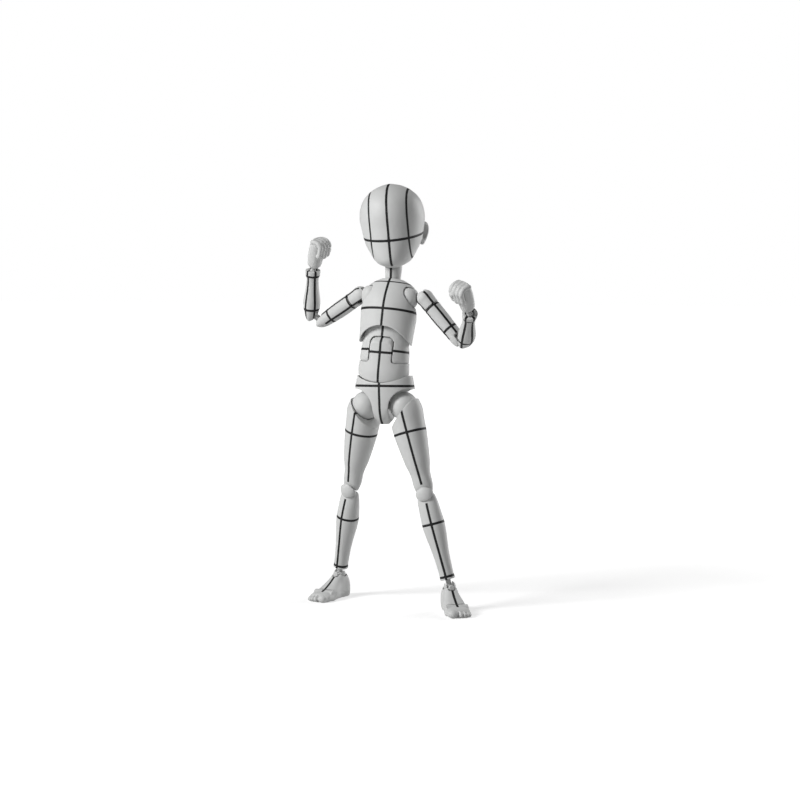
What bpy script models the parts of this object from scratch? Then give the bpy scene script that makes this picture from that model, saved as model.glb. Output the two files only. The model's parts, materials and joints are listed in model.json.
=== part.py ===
"""Posable drawing mannequin of a child, about 100 mm tall, standing with both fists raised.

Every limb is built straight in its own joint frame, then posed by the rest angles below.
The figure faces -Y, its left side is +X, and both soles stand flat on z = 0.
All lengths are in metres and all angles in degrees.
"""
import math

import bmesh
import bpy
from mathutils import Matrix, Vector

# Clearances
RUN_GAP = 0.00028
BOND_GAP = 0.00006

# Skeleton lengths, measured between joint centres
HIP_SPACING = 0.0092
HIP_TO_KNEE = 0.0210
KNEE_PITCH = 0.0041
KNEE_TO_ANKLE = 0.0220
ANKLE_HEIGHT = 0.0056
WAIST_RISE = 0.0122
WAIST_TO_CHEST = 0.0075
CHEST_TO_NECK = 0.0085
NECK_TO_HEAD_TILT = 0.0038
HEAD_TILT_TO_BALL = 0.0032
SWING_SPACING = 0.0090
SWING_FORWARD = 0.0008
SHOULDER_RISE = 0.0058
SWING_TO_SHOULDER = 0.0038
SHOULDER_TO_ELBOW = 0.0140
ELBOW_PITCH = 0.0033
ELBOW_TO_WRIST = 0.0122

# Head and neck
HEAD_HEIGHT = 0.0195
HEAD_HALF_WIDTH = 0.0076
HEAD_FRONT = 0.0084
HEAD_BACK = 0.0089
CHIN_DROP = 0.0030
HEAD_BALL_RADIUS = 0.0016
TILT_BALL_RADIUS = 0.0011
HEAD_STEM_RADIUS = 0.0007
NECK_RADIUS = 0.0020
NECK_BALL_RADIUS = 0.0023
NECK_TOP_RISE = 0.0015
NECK_ROOM = 0.00075
EAR_HEIGHT = 0.0054
EAR_LENGTH = 0.0034
EAR_OUT = 0.0016
EAR_SETBACK = 0.0036

# Torso
CHEST_HALF_WIDTH = 0.0068
CHEST_FRONT = 0.0052
CHEST_BACK = 0.0049
CHEST_WALL = 0.0006
PARTING = 0.00037
CHEST_TOP = 0.0097
CHEST_SKIRT = 0.0044
CHEST_ARCH_RISE = 0.0029
CHEST_HEM = 0.0004
BELLY_HALF_WIDTH = 0.0058
BELLY_HALF_DEPTH = 0.0041
BELLY_DRUM_RADIUS = 0.0040
BELLY_TONGUE_WIDTH = 0.0053
BELLY_NOTCH_RISE = 0.0026
SPINE_BALL_RADIUS = 0.0015
SPINE_POST_RADIUS = 0.0009
SPINE_POST_LENGTH = 0.0050
WAIST_CAP_RADIUS = 0.0079
WAIST_BALL_RADIUS = 0.0016
WAIST_POST_RADIUS = 0.0010
WAIST_SEAT = 0.0016
PELVIS_HALF_WIDTH = 0.0071
PELVIS_HALF_DEPTH = 0.0046
PELVIS_TOP = 0.0070
PELVIS_DROP = 0.0043
CROTCH_WEB = 0.0004
LEG_OPENING_ROOM = 0.0009

# Arm
SWING_DRUM_RADIUS = 0.0024
SWING_DRUM_HEIGHT = 0.0052
ARM_SWEEP = 24.0
ARM_REST_RAISE = 14.0
SHOULDER_PEG_RADIUS = 0.0008
SHOULDER_BALL_RADIUS = 0.00125
SHOULDER_CAP_RADIUS = 0.0021
ARM_SEAM_DROP = 0.0024
UPPER_ARM_RADIUS = 0.0020
ELBOW_RADIUS = 0.0015
ELBOW_PLATE = 0.0012
FOREARM_RADIUS = 0.0021
FOREARM_WAIST = 0.00145
CUFF_RADIUS = 0.0018
WRIST_BALL_RADIUS = 0.00085
WRIST_STEM_RADIUS = 0.00045
WRIST_SPACE = 0.00095
CUFF_OVERHANG = 0.0004
HAND_LENGTH = 0.00765
HAND_BREADTH = 0.0044
PALM_THICKNESS = 0.0030
FINGER_RADIUS = 0.00064
FINGER_CLOSENESS = 0.86

# Leg
HIP_BALL_RADIUS = 0.0033
HIP_PEG_RADIUS = 0.0009
HIP_EYE_RADIUS = 0.0015
THIGH_WALL = 0.0006
THIGH_RADIUS = 0.0039
KNEE_RADIUS = 0.0019
KNEE_PLATE = 0.0015
KNEECAP_HALF_WIDTH = 0.0018
KNEECAP_HALF_HEIGHT = 0.0021
CALF_RADIUS = 0.0026
ANKLE_RING_RADIUS = 0.00178
ANKLE_RING_RISE = 0.00175
ANKLE_BALL_RADIUS = 0.0014
ANKLE_SWING = 33.0
ANKLE_PEG_RADIUS = 0.0006
FOOT_HEEL = 0.0038
FOOT_REACH = 0.0104
FOOT_HALF_WIDTH = 0.0027
HEEL_HALF_WIDTH = 0.0020
TOE_HINGE_REACH = 0.0062
TOE_HINGE_RISE = 0.00125
TOE_GROOVE = 0.0002

# Rest angles of the pose, in degrees about each joint's own axis
PELVIS_LEAN = -3.0
PELVIS_ROLL = -0.5
WAIST_TURN = 0.0
WAIST_TILT = 4.0
BELLY_BEND = -4.0
CHEST_BEND = -5.0
CHEST_TURN = 0.0
NECK_NOD = 11.0
HEAD_TILT = -5.0
HEAD_TURN = 9.0
FOOT_HEADING = {"left": 30.0, "right": 16.0}
HIP_SWING = {"left": -2.0, "right": 12.0}
RIGHT_HIP_SPREAD = 13.5
THIGH_TURN = {"left": 5.0, "right": 17.0}
KNEE_BEND = {"left": 2.0, "right": 2.0}
ARM_FORWARD = {"left": -6.0, "right": 17.5}
ARM_SWING = {"left": 12.0, "right": 7.5}
ARM_RAISE = {"left": 44.0, "right": 59.5}
ARM_TURN = {"left": 43.0, "right": 66.0}
ELBOW_BEND = {"left": 51.0, "right": 65.5}
WRIST_BEND = {"left": -27.0, "right": -9.0}
HAND_TURN = {"left": 0.0, "right": 80.0}

# How far the eyes of a hinge link are set in from the rounded end of the limb
EYE_INSET = 0.0004

# Facets around a limb, the trunk, a drum, a large ball and a small joint, and rings along a limb
LIMB_SIDES = 12
TRUNK_SIDES = 16
DRUM_SIDES = 16
BALL_SIDES = 12
JOINT_SIDES = 10
RINGS = 7
TRUNK_RINGS = 8

# Turns round shapes a little, in radians, so that no facet edge lies on a plane of symmetry
FACET_TURN = 0.11

SIDES = {"left": 1.0, "right": -1.0}
AXES = {"X": Vector((1, 0, 0)), "Y": Vector((0, 1, 0)), "Z": Vector((0, 0, 1))}


def clear_scene():
    """Remove everything the file opened with."""
    for obj in list(bpy.data.objects):
        bpy.data.objects.remove(obj, do_unlink=True)


def collection(name):
    """Make a collection linked to the scene."""
    group = bpy.data.collections.new(name)
    bpy.context.scene.collection.children.link(group)
    return group


def material(name, colour, roughness):
    """Plain moulded plastic with one colour and roughness."""
    mat = bpy.data.materials.new(name)
    mat.use_nodes = True
    shader = mat.node_tree.nodes["Principled BSDF"]
    shader.inputs["Base Color"].default_value = (*colour, 1.0)
    shader.inputs["Roughness"].default_value = roughness
    shader.inputs["Metallic"].default_value = 0.0
    return mat


class Figure:
    """Holds the collections, the joint frames and the materials while the pieces are made."""

    def __init__(self):
        self.parts = collection("drawing_mannequin")
        self.cutters = collection("cutters")
        self.frames = collection("joint_frames")
        self.frame = {}

    def joint(self, name, parent, offset, axis, angle):
        """Add a joint frame: an empty on the joint's axis, turned by its rest angle."""
        empty = bpy.data.objects.new(name, None)
        empty.empty_display_size = 0.002
        self.frames.objects.link(empty)
        if parent:
            empty.parent = self.frame[parent]
        empty.location = offset
        empty.rotation_mode = "QUATERNION"
        empty.rotation_quaternion = Matrix.Rotation(math.radians(angle), 3, AXES[axis]).to_quaternion()
        empty["axis"] = axis
        self.frame[name] = empty

    def piece(self, name, frame, mesh, finish):
        """Add one finished sub-part to its joint frame."""
        obj = bpy.data.objects.new(name, mesh)
        obj.parent = self.frame[frame]
        self.parts.objects.link(obj)
        mat = material(name + "_plastic", *finish)
        mesh.materials.append(mat)
        for polygon in mesh.polygons:
            polygon.use_smooth = True
        return obj

    def boolean(self, obj, mesh, operation="DIFFERENCE"):
        """Cut, add or keep another solid, given in the same joint frame as the piece."""
        tool = bpy.data.objects.new(obj.name + "_" + operation.lower(), mesh)
        tool.parent = obj.parent
        tool.hide_render = True
        tool.display_type = "WIRE"
        self.cutters.objects.link(tool)
        modifier = obj.modifiers.new(operation.title(), "BOOLEAN")
        modifier.operation = operation
        modifier.solver = "EXACT"
        modifier.object = tool
        return tool


def to_mesh(bm, name):
    """Turn a bmesh into a mesh with its faces pointing out."""
    bmesh.ops.recalc_face_normals(bm, faces=bm.faces)
    mesh = bpy.data.meshes.new(name)
    bm.to_mesh(mesh)
    bm.free()
    return mesh


def ball(radius, centre=(0, 0, 0), sides=JOINT_SIDES, rings=None):
    """Sphere or ellipsoid: radius is one number or three."""
    radii = (radius,) * 3 if isinstance(radius, float) else radius
    bm = bmesh.new()
    place = Matrix.Translation(centre) @ Matrix.Diagonal((*radii, 1.0)) @ Matrix.Rotation(FACET_TURN, 4, "Z")
    levels = rings or sides // 2 + 1
    bmesh.ops.create_uvsphere(bm, u_segments=sides, v_segments=levels, radius=1.0, matrix=place)
    return to_mesh(bm, "ball")


def rod(radius, start, end, sides=JOINT_SIDES, tip=None):
    """Cylinder, or cone where the tip radius differs, between two points."""
    start, end = Vector(start), Vector(end)
    along = end - start
    turn = along.to_track_quat("Z", "Y").to_matrix().to_4x4()
    place = Matrix.Translation((start + end) / 2) @ turn @ Matrix.Rotation(FACET_TURN, 4, "Z")
    bm = bmesh.new()
    bmesh.ops.create_cone(bm, cap_ends=True, segments=sides, radius1=radius,
                          radius2=radius if tip is None else tip, depth=along.length, matrix=place)
    return to_mesh(bm, "rod")


def turned(profile, sides=JOINT_SIDES):
    """Spin a profile of radius and height about the z axis; it starts and ends on the axis."""
    bm = bmesh.new()
    points = [bm.verts.new((radius, 0.0, height)) for radius, height in profile]
    edges = [bm.edges.new(pair) for pair in zip(points, points[1:])]
    bmesh.ops.spin(bm, geom=points + edges, axis=(0, 0, 1), cent=(0, 0, 0), angle=2 * math.pi, steps=sides)
    bmesh.ops.remove_doubles(bm, verts=bm.verts, dist=1e-7)
    bmesh.ops.rotate(bm, verts=bm.verts, cent=(0, 0, 0), matrix=Matrix.Rotation(FACET_TURN, 3, "Z"))
    return to_mesh(bm, "turned")


def ball_end(radius, stem, up, centre=0.0, steps=5):
    """Profile of a ball from its far pole to where it meets a stem; up is the way the stem leaves."""
    last = math.pi - math.asin(stem / radius)
    return [(radius * math.sin(last * i / steps), centre - up * radius * math.cos(last * i / steps))
            for i in range(steps + 1)]


def socket(radius, throat, flare, depth, up, centre=0.0, sides=JOINT_SIDES):
    """Cutter for a ball seat: the ball's room, then a cone from its throat out to the open mouth."""
    end = centre + up * depth
    return turned(ball_end(radius, throat, up, centre) + [(flare, end), (0.0, end)], sides)


def box(low, high):
    """Box between two corners."""
    low, high = Vector(low), Vector(high)
    bm = bmesh.new()
    place = Matrix.Translation((low + high) / 2) @ Matrix.Diagonal((*(high - low), 1.0))
    bmesh.ops.create_cube(bm, size=1.0, matrix=place)
    return to_mesh(bm, "box")


def skin(rings):
    """Loft a closed skin over a row of rings that have the same number of points."""
    bm = bmesh.new()
    rows = [[bm.verts.new(point) for point in ring] for ring in rings]
    count = len(rows[0])
    for lower, upper in zip(rows, rows[1:]):
        for i in range(count):
            j = (i + 1) % count
            bm.faces.new((lower[i], lower[j], upper[j], upper[i]))
    bm.faces.new(rows[0])
    bm.faces.new(rows[-1])
    return to_mesh(bm, "skin")


def spline(knots, count):
    """Sample rows of numbers along a smooth curve through the knots, evenly in the first number."""
    first, last = knots[0][0], knots[-1][0]
    rows = []
    for step in range(count + 1):
        at = first + (last - first) * step / count
        k = max(i for i in range(len(knots) - 1) if (at - knots[i][0]) * (last - first) >= -1e-12)
        before = knots[max(k - 1, 0)]
        after = knots[min(k + 2, len(knots) - 1)]
        a, b = knots[k], knots[k + 1]
        span = b[0] - a[0]
        t = (at - a[0]) / span
        row = [at]
        for v in range(1, len(a)):
            slope_a = (b[v] - before[v]) / (b[0] - before[0]) * span
            slope_b = (after[v] - a[v]) / (after[0] - a[0]) * span
            h = 2 * t ** 3 - 3 * t ** 2
            row.append((h + 1) * a[v] + (t ** 3 - 2 * t ** 2 + t) * slope_a - h * b[v]
                       + (t ** 3 - t ** 2) * slope_b)
        rows.append(row)
    return rows


def oval(z, half_width, front, back, sides=LIMB_SIDES, power=2.0, shift=0.0):
    """Level ring whose front and back depths differ; a power above 2 squares it off."""
    ring = []
    for i in range(sides):
        turn = 2 * math.pi * (i + 0.5) / sides
        c, s = math.cos(turn), math.sin(turn)
        x = math.copysign(abs(c) ** (2 / power), c) * half_width
        y = math.copysign(abs(s) ** (2 / power), s) * (back if s > 0 else front)
        ring.append(Vector((x, y + shift, z)))
    return ring


def limb(knots, count=RINGS, sides=LIMB_SIDES, power=2.0):
    """Tapered body of oval rings; each knot is height, half width, front and back depth."""
    return skin([oval(*row, sides=sides, power=power) for row in spline(knots, count)])


GREY = ((0.60, 0.60, 0.60), 0.48)
JOINT_GREY = ((0.52, 0.52, 0.52), 0.42)


def leg_drop(side, spread):
    """Height from the hip line down to the ankle of one leg, for a given spread."""
    sign = SIDES[side]
    turn = pelvis_turn() @ spin("X", HIP_SWING[side]) @ spin("Y", -sign * spread)
    hip = pelvis_turn() @ Vector((sign * HIP_SPACING / 2, 0, 0))
    knee_top = turn @ Vector((0, 0, -(HIP_TO_KNEE - KNEE_PITCH / 2)))
    turn = turn @ spin("Z", sign * THIGH_TURN[side]) @ spin("X", KNEE_BEND[side])
    link = turn @ Vector((0, 0, -KNEE_PITCH))
    turn = turn @ spin("X", KNEE_BEND[side])
    ankle = turn @ Vector((0, 0, -(KNEE_TO_ANKLE - KNEE_PITCH / 2)))
    return -(hip + knee_top + link + ankle).z


def spin(axis, angle):
    """Rotation about one of the main axes."""
    return Matrix.Rotation(math.radians(angle), 3, AXES[axis])


def pelvis_turn():
    """How the pelvis leans in the rest pose."""
    return spin("Y", PELVIS_ROLL) @ spin("X", PELVIS_LEAN)


def left_spread():
    """Spread of the left leg that sets its sole on the same floor as the right one."""
    target = leg_drop("right", RIGHT_HIP_SPREAD)
    low, high = 0.0, 45.0
    for _ in range(40):
        middle = (low + high) / 2
        if leg_drop("left", middle) > target:
            low = middle
        else:
            high = middle
    return (low + high) / 2


def add_joints(figure):
    """Place every joint frame, from the pelvis outward."""
    add = figure.joint
    hip_height = ANKLE_HEIGHT + leg_drop("right", RIGHT_HIP_SPREAD)
    add("root", None, (0, 0, hip_height), "Z", 0.0)
    add("pelvis", "root", (0, 0, 0), "X", 0.0)
    figure.frame["pelvis"].rotation_quaternion = pelvis_turn().to_quaternion()
    add("waist_turn", "pelvis", (0, 0, WAIST_RISE), "Z", WAIST_TURN)
    add("waist_tilt", "waist_turn", (0, 0, 0), "Y", WAIST_TILT)
    add("belly_bend", "waist_tilt", (0, 0, 0), "X", BELLY_BEND)
    add("chest_bend", "belly_bend", (0, 0, WAIST_TO_CHEST), "X", CHEST_BEND)
    add("chest_turn", "chest_bend", (0, 0, 0), "Z", CHEST_TURN)
    add("neck_nod", "chest_turn", (0, 0, CHEST_TO_NECK), "X", NECK_NOD)
    add("head_tilt", "neck_nod", (0, 0, NECK_TO_HEAD_TILT), "Y", HEAD_TILT)
    add("head_turn", "head_tilt", (0, 0, HEAD_TILT_TO_BALL), "Z", HEAD_TURN)
    spread = {"right": RIGHT_HIP_SPREAD, "left": left_spread()}
    for side, sign in SIDES.items():
        name = side + "_"
        swing = (sign * SWING_SPACING / 2, -SWING_FORWARD, SHOULDER_RISE)
        add(name + "arm_forward", "chest_turn", swing, "Z", sign * ARM_FORWARD[side])
        shoulder = (sign * SWING_TO_SHOULDER, SWING_FORWARD, 0)
        add(name + "arm_swing", name + "arm_forward", shoulder, "X", ARM_SWING[side])
        add(name + "arm_raise", name + "arm_swing", (0, 0, 0), "Y", -sign * ARM_RAISE[side])
        add(name + "arm_turn", name + "arm_raise", (0, 0, 0), "Z", sign * ARM_TURN[side])
        elbow = (0, 0, -(SHOULDER_TO_ELBOW - ELBOW_PITCH / 2))
        add(name + "elbow_upper", name + "arm_turn", elbow, "X", -ELBOW_BEND[side])
        add(name + "elbow_lower", name + "elbow_upper", (0, 0, -ELBOW_PITCH), "X", -ELBOW_BEND[side])
        wrist = (0, 0, -(ELBOW_TO_WRIST - ELBOW_PITCH / 2))
        add(name + "wrist_bend", name + "elbow_lower", wrist, "X", WRIST_BEND[side])
        add(name + "hand_turn", name + "wrist_bend", (0, 0, 0), "Z", sign * HAND_TURN[side])
        hip = (sign * HIP_SPACING / 2, 0, 0)
        add(name + "hip_swing", "pelvis", hip, "X", HIP_SWING[side])
        add(name + "hip_spread", name + "hip_swing", (0, 0, 0), "Y", -sign * spread[side])
        add(name + "thigh_turn", name + "hip_spread", (0, 0, 0), "Z", sign * THIGH_TURN[side])
        knee = (0, 0, -(HIP_TO_KNEE - KNEE_PITCH / 2))
        add(name + "knee_upper", name + "thigh_turn", knee, "X", KNEE_BEND[side])
        add(name + "knee_lower", name + "knee_upper", (0, 0, -KNEE_PITCH), "X", KNEE_BEND[side])
        leg = pelvis_turn() @ spin("X", HIP_SWING[side]) @ spin("Y", -sign * spread[side])
        leg = leg @ spin("Z", sign * THIGH_TURN[side]) @ spin("X", 2 * KNEE_BEND[side])
        flat = leg.transposed() @ spin("Z", sign * FOOT_HEADING[side])
        ankle = (0, 0, -(KNEE_TO_ANKLE - KNEE_PITCH / 2))
        turn = math.degrees(math.atan2(-flat[0][1], flat[1][1]))
        pitch = math.degrees(math.asin(flat[2][1]))
        roll = math.degrees(math.atan2(-flat[2][0], flat[2][2]))
        add(name + "ankle_turn", name + "knee_lower", ankle, "Z", turn)
        add(name + "ankle_pitch", name + "ankle_turn", (0, 0, 0), "X", pitch)
        add(name + "ankle_roll", name + "ankle_pitch", (0, 0, 0), "Y", roll)
        toe = (0, -TOE_HINGE_REACH, TOE_HINGE_RISE - ANKLE_HEIGHT)
        add(name + "toe_bend", name + "ankle_roll", toe, "X", 0.0)


def add_head(figure):
    """Blank egg-shaped head with ears, its double-ball peg and the neck."""
    chin = -CHIN_DROP
    width, front, back, tall = HEAD_HALF_WIDTH, HEAD_FRONT, HEAD_BACK, HEAD_HEIGHT
    shape = ((0.00, 0.12, 0.55, -0.25), (0.03, 0.34, 0.76, 0.05), (0.08, 0.53, 0.87, 0.32),
             (0.19, 0.71, 0.93, 0.57), (0.31, 0.86, 0.96, 0.78), (0.45, 0.94, 0.99, 0.93),
             (0.62, 1.00, 1.02, 1.00), (0.78, 0.91, 0.93, 0.91), (0.90, 0.67, 0.68, 0.67),
             (0.97, 0.37, 0.38, 0.37), (1.00, 0.08, 0.10, 0.08))
    rings = []
    for up, wide, ahead, behind in shape:
        middle = (behind * back - ahead * front) / 2
        reach = (behind * back + ahead * front) / 2
        rings.append(oval(chin + up * tall, wide * width, reach, reach, sides=TRUNK_SIDES, shift=middle))
    head = figure.piece("head", "head_turn", skin(rings), GREY)
    for sign in SIDES.values():
        centre = (sign * 0.86 * width, EAR_SETBACK, chin + 0.40 * tall)
        ear = ball((EAR_OUT, EAR_LENGTH / 2, EAR_HEIGHT / 2), centre, sides=10)
        figure.boolean(head, ear, "UNION")
    room = HEAD_BALL_RADIUS + RUN_GAP
    figure.boolean(head, socket(room, 0.94 * room, 1.3 * room, 0.5 * tall, -1, sides=BALL_SIDES))
    roof = NECK_TOP_RISE + NECK_ROOM - HEAD_TILT_TO_BALL
    figure.boolean(head, rod(NECK_RADIUS + NECK_ROOM, (0, 0, -0.5 * tall), (0, 0, roof), BALL_SIDES))
    stem = HEAD_TILT_TO_BALL
    profile = ball_end(TILT_BALL_RADIUS, HEAD_STEM_RADIUS, 1)
    profile += ball_end(HEAD_BALL_RADIUS, HEAD_STEM_RADIUS, -1, stem)[::-1]
    figure.piece("head_peg", "head_tilt", turned(profile), JOINT_GREY)
    top = NECK_TO_HEAD_TILT + NECK_TOP_RISE
    profile = ball_end(NECK_BALL_RADIUS, 0.9 * NECK_RADIUS, 1)
    profile += [(NECK_RADIUS, 0.7 * top), (0.97 * NECK_RADIUS, top), (0.0, top)]
    neck = figure.piece("neck", "neck_nod", turned(profile, BALL_SIDES), GREY)
    room = TILT_BALL_RADIUS + RUN_GAP
    throat = HEAD_STEM_RADIUS + RUN_GAP
    figure.boolean(neck, socket(room, throat, 1.1 * room, 1.1 * NECK_TOP_RISE, 1, NECK_TO_HEAD_TILT))


def half_space(keep_front, y, size=0.05):
    """Big block that keeps one side of a front-to-back parting plane."""
    if keep_front:
        return box((-size, -size, -size), (size, y - BOND_GAP / 2, size))
    return box((-size, y + BOND_GAP / 2, -size), (size, size, size))


def swing_drum(grow=0.0):
    """Barrel on an upright axis that carries the arm in the side of the chest."""
    radius = SWING_DRUM_RADIUS + grow
    half = SWING_DRUM_HEIGHT / 2 + grow
    rings = []
    for up in (-1, -0.75, -0.4, 0, 0.4, 0.75, 1):
        swell = radius * math.sqrt(1 - (up * 0.8) ** 2)
        rings.append(oval(half * up, swell, swell, swell))
    return rings


def shifted(rings, offset):
    """The same rings moved by an offset."""
    return [[point + Vector(offset) for point in ring] for ring in rings]


def add_chest(figure):
    """Chest in two bonded half shells over a domed cavity, open at the arms, neck and waist."""
    w, f, b, top = CHEST_HALF_WIDTH, CHEST_FRONT, CHEST_BACK, CHEST_TOP
    knots = ((-CHEST_SKIRT, 0.90 * w, 0.86 * f, 0.88 * b), (-0.2 * CHEST_SKIRT, 0.96 * w, 0.96 * f, 0.95 * b),
             (0.30 * top, w, f, b), (0.56 * top, 0.98 * w, 0.90 * f, 0.96 * b),
             (0.76 * top, 0.88 * w, 0.74 * f, 0.86 * b), (0.90 * top, 0.68 * w, 0.60 * f, 0.70 * b),
             (top, 0.40 * w, 0.46 * f, 0.52 * b))
    cavity = [oval(z, x, y, y, sides=TRUNK_SIDES) for z, x, y in (
        (-2 * CHEST_SKIRT, w - CHEST_WALL, f - CHEST_WALL), (0.0, w - CHEST_WALL, f - CHEST_WALL),
        (0.16 * top, 0.80 * w, 0.72 * f), (0.29 * top, 0.54 * w, 0.52 * f), (0.34 * top, 0.30 * w, 0.30 * f))]
    arch = 0.85 * w
    arch_radius = (arch ** 2 + CHEST_ARCH_RISE ** 2) / (2 * CHEST_ARCH_RISE)
    arch_height = CHEST_ARCH_RISE - CHEST_SKIRT - arch_radius + CHEST_HEM
    for keep_front, name in ((True, "chest_front"), (False, "chest_back")):
        shell = figure.piece(name, "chest_turn", limb(knots, TRUNK_RINGS, sides=TRUNK_SIDES), GREY)
        figure.boolean(shell, skin(cavity))
        figure.boolean(shell, rod(arch_radius, (0, -2 * f, arch_height), (0, 2 * b, arch_height), 28))
        bore = SPINE_POST_RADIUS + RUN_GAP
        figure.boolean(shell, rod(bore, (0, 0, 0), (0, 0, SPINE_POST_LENGTH + RUN_GAP)))
        room = NECK_BALL_RADIUS + RUN_GAP
        figure.boolean(shell, socket(room, 0.9 * room, 1.6 * room, 1.8 * room, 1, CHEST_TO_NECK, BALL_SIDES))
        for sign in SIDES.values():
            at = (sign * SWING_SPACING / 2, -SWING_FORWARD, SHOULDER_RISE)
            figure.boolean(shell, skin(shifted(swing_drum(RUN_GAP), at)))
            lean = math.radians(ARM_REST_RAISE)
            arm_room = (SHOULDER_CAP_RADIUS + RUN_GAP) / math.cos(lean)
            for swing in (-ARM_SWEEP, 0.0, ARM_SWEEP):
                cap = Vector(at) + spin("Z", swing) @ Vector((sign * SWING_TO_SHOULDER, SWING_FORWARD, 0))
                figure.boolean(shell, ball(SHOULDER_CAP_RADIUS + RUN_GAP, cap, BALL_SIDES))
                inner = cap - spin("Z", swing) @ Vector((sign * arm_room, 0, 0))
                figure.boolean(shell, rod(0.1 * arm_room, inner, cap, JOINT_SIDES, arm_room / math.tan(lean)))
        figure.boolean(shell, half_space(keep_front, PARTING), "INTERSECT")
    profile = ball_end(SPINE_BALL_RADIUS, SPINE_POST_RADIUS, 1)
    profile += [(SPINE_POST_RADIUS, SPINE_POST_LENGTH), (0.0, SPINE_POST_LENGTH)]
    figure.piece("spine_link", "chest_bend", turned(profile), JOINT_GREY)


def belly_outline(knots):
    """Oval trunk at belly height; each knot is a height above the waist centre and two shares."""
    w, d = BELLY_HALF_WIDTH, BELLY_HALF_DEPTH
    return limb([(z, wide * w, deep * d, deep * d) for z, wide, deep in knots], 9, sides=TRUNK_SIDES)


def arc(radius, start, end, steps=12):
    """Points of a circle about the origin between two angles given in degrees."""
    turns = [math.radians(start + (end - start) * i / steps) for i in range(steps + 1)]
    return [(radius * math.cos(turn), radius * math.sin(turn)) for turn in turns]


def add_belly(figure):
    """Two interlocking belly pieces that bend on a drum, and the post they turn on."""
    drum, tongue = BELLY_DRUM_RADIUS, BELLY_TONGUE_WIDTH / 2
    room, wide, cap, dome = drum + RUN_GAP, 3 * BELLY_HALF_WIDTH, WAIST_CAP_RADIUS, WAIST_TO_CHEST
    low = figure.piece("lower_belly", "waist_tilt", belly_outline(
        ((-cap, 0.90, 0.95), (-0.6 * cap, 1.08, 1.08), (-0.3 * cap, 1.05, 1.05), (0.0, 1.0, 1.0),
         (1.1 * drum, 1.0, 1.0))), GREY)
    figure.boolean(low, ball(cap, sides=DRUM_SIDES, rings=14), "INTERSECT")
    over_drum = [(-wide, 0.0)] + arc(drum, 180, 0) + [(wide, 0.0), (wide, 2 * drum), (-wide, 2 * drum)]
    figure.boolean(low, prism(over_drum, -wide, wide))
    seat = [(-wide, 2 * drum), (-wide, 0.0)] + arc(room, 180, 360) + [(wide, 0.0), (wide, 2 * drum)]
    for sign in SIDES.values():
        figure.boolean(low, prism(seat, sign * tongue, sign * wide))
    throat = WAIST_POST_RADIUS + RUN_GAP
    figure.boolean(low, socket(WAIST_BALL_RADIUS + RUN_GAP, throat, 1.9 * throat, 1.2 * cap, -1))
    up = figure.piece("upper_belly", "belly_bend", belly_outline(
        ((-1.1 * drum, 1.02, 1.0), (0.0, 1.0, 1.0), (0.5 * dome, 0.98, 0.97), (0.85 * dome, 0.94, 0.92),
         (1.05 * dome, 0.83, 0.81), (1.20 * dome, 0.60, 0.60), (1.27 * dome, 0.36, 0.38))), GREY)
    under_tabs = [(wide, 0.0)] + arc(drum, 0, -180) + [(-wide, 0.0), (-wide, -2 * drum), (wide, -2 * drum)]
    figure.boolean(up, prism(under_tabs, -wide, wide))
    edge = math.degrees(math.asin(BELLY_NOTCH_RISE / room))
    notch = [(-wide, -2 * drum), (-wide, BELLY_NOTCH_RISE)] + arc(room, 180 - edge, edge)
    notch += [(wide, BELLY_NOTCH_RISE), (wide, -2 * drum)]
    figure.boolean(up, prism(notch, -tongue - RUN_GAP, tongue + RUN_GAP))
    figure.boolean(up, ball(SPINE_BALL_RADIUS + RUN_GAP, (0, 0, dome)))
    post = SPINE_POST_RADIUS + RUN_GAP
    figure.boolean(up, box((-post, -2.1 * post, dome), (post, 2.1 * post, 2 * dome)))
    profile = ball_end(WAIST_BALL_RADIUS, WAIST_POST_RADIUS, -1)
    profile += [(WAIST_POST_RADIUS, WAIST_SEAT - WAIST_RISE), (0.0, WAIST_SEAT - WAIST_RISE)]
    figure.piece("waist_post", "waist_turn", turned(profile), JOINT_GREY)


def add_pelvis(figure):
    """Pelvis in two bonded halves, with a bowl for the belly and two leg openings."""
    w, d, top, low = PELVIS_HALF_WIDTH, PELVIS_HALF_DEPTH, PELVIS_TOP, PELVIS_DROP
    knots = ((-low, 0.14 * w, 0.36 * d, 0.36 * d), (-0.75 * low, 0.28 * w, 0.62 * d, 0.60 * d),
             (-0.25 * low, 0.66 * w, 0.84 * d, 0.88 * d), (0.22 * top, 0.98 * w, 0.93 * d, 1.02 * d),
             (0.45 * top, 1.01 * w, 0.97 * d, 1.03 * d), (0.62 * top, w, 0.99 * d, 1.02 * d),
             (top, 0.93 * w, 0.96 * d, 0.97 * d))
    waist = (0, 0, WAIST_RISE)
    for keep_front, name in ((True, "pelvis_front"), (False, "pelvis_back")):
        shell = figure.piece(name, "pelvis", limb(knots, TRUNK_RINGS, sides=TRUNK_SIDES), GREY)
        figure.boolean(shell, ball(WAIST_CAP_RADIUS + RUN_GAP, waist, sides=DRUM_SIDES, rings=14))
        bore = WAIST_POST_RADIUS + RUN_GAP
        figure.boolean(shell, rod(bore, (0, 0, WAIST_SEAT - RUN_GAP), waist))
        for sign in SIDES.values():
            hip = (sign * HIP_SPACING / 2, 0, 0)
            opening = HIP_BALL_RADIUS + THIGH_WALL + LEG_OPENING_ROOM
            across = HIP_SPACING / 2 - CROTCH_WEB
            figure.boolean(shell, ball((across, opening, opening), hip, BALL_SIDES))
            figure.boolean(shell, rod(HIP_PEG_RADIUS + RUN_GAP, (sign * CROTCH_WEB / 2, 0, 0), hip))
        figure.boolean(shell, half_space(keep_front, PARTING), "INTERSECT")


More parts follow.
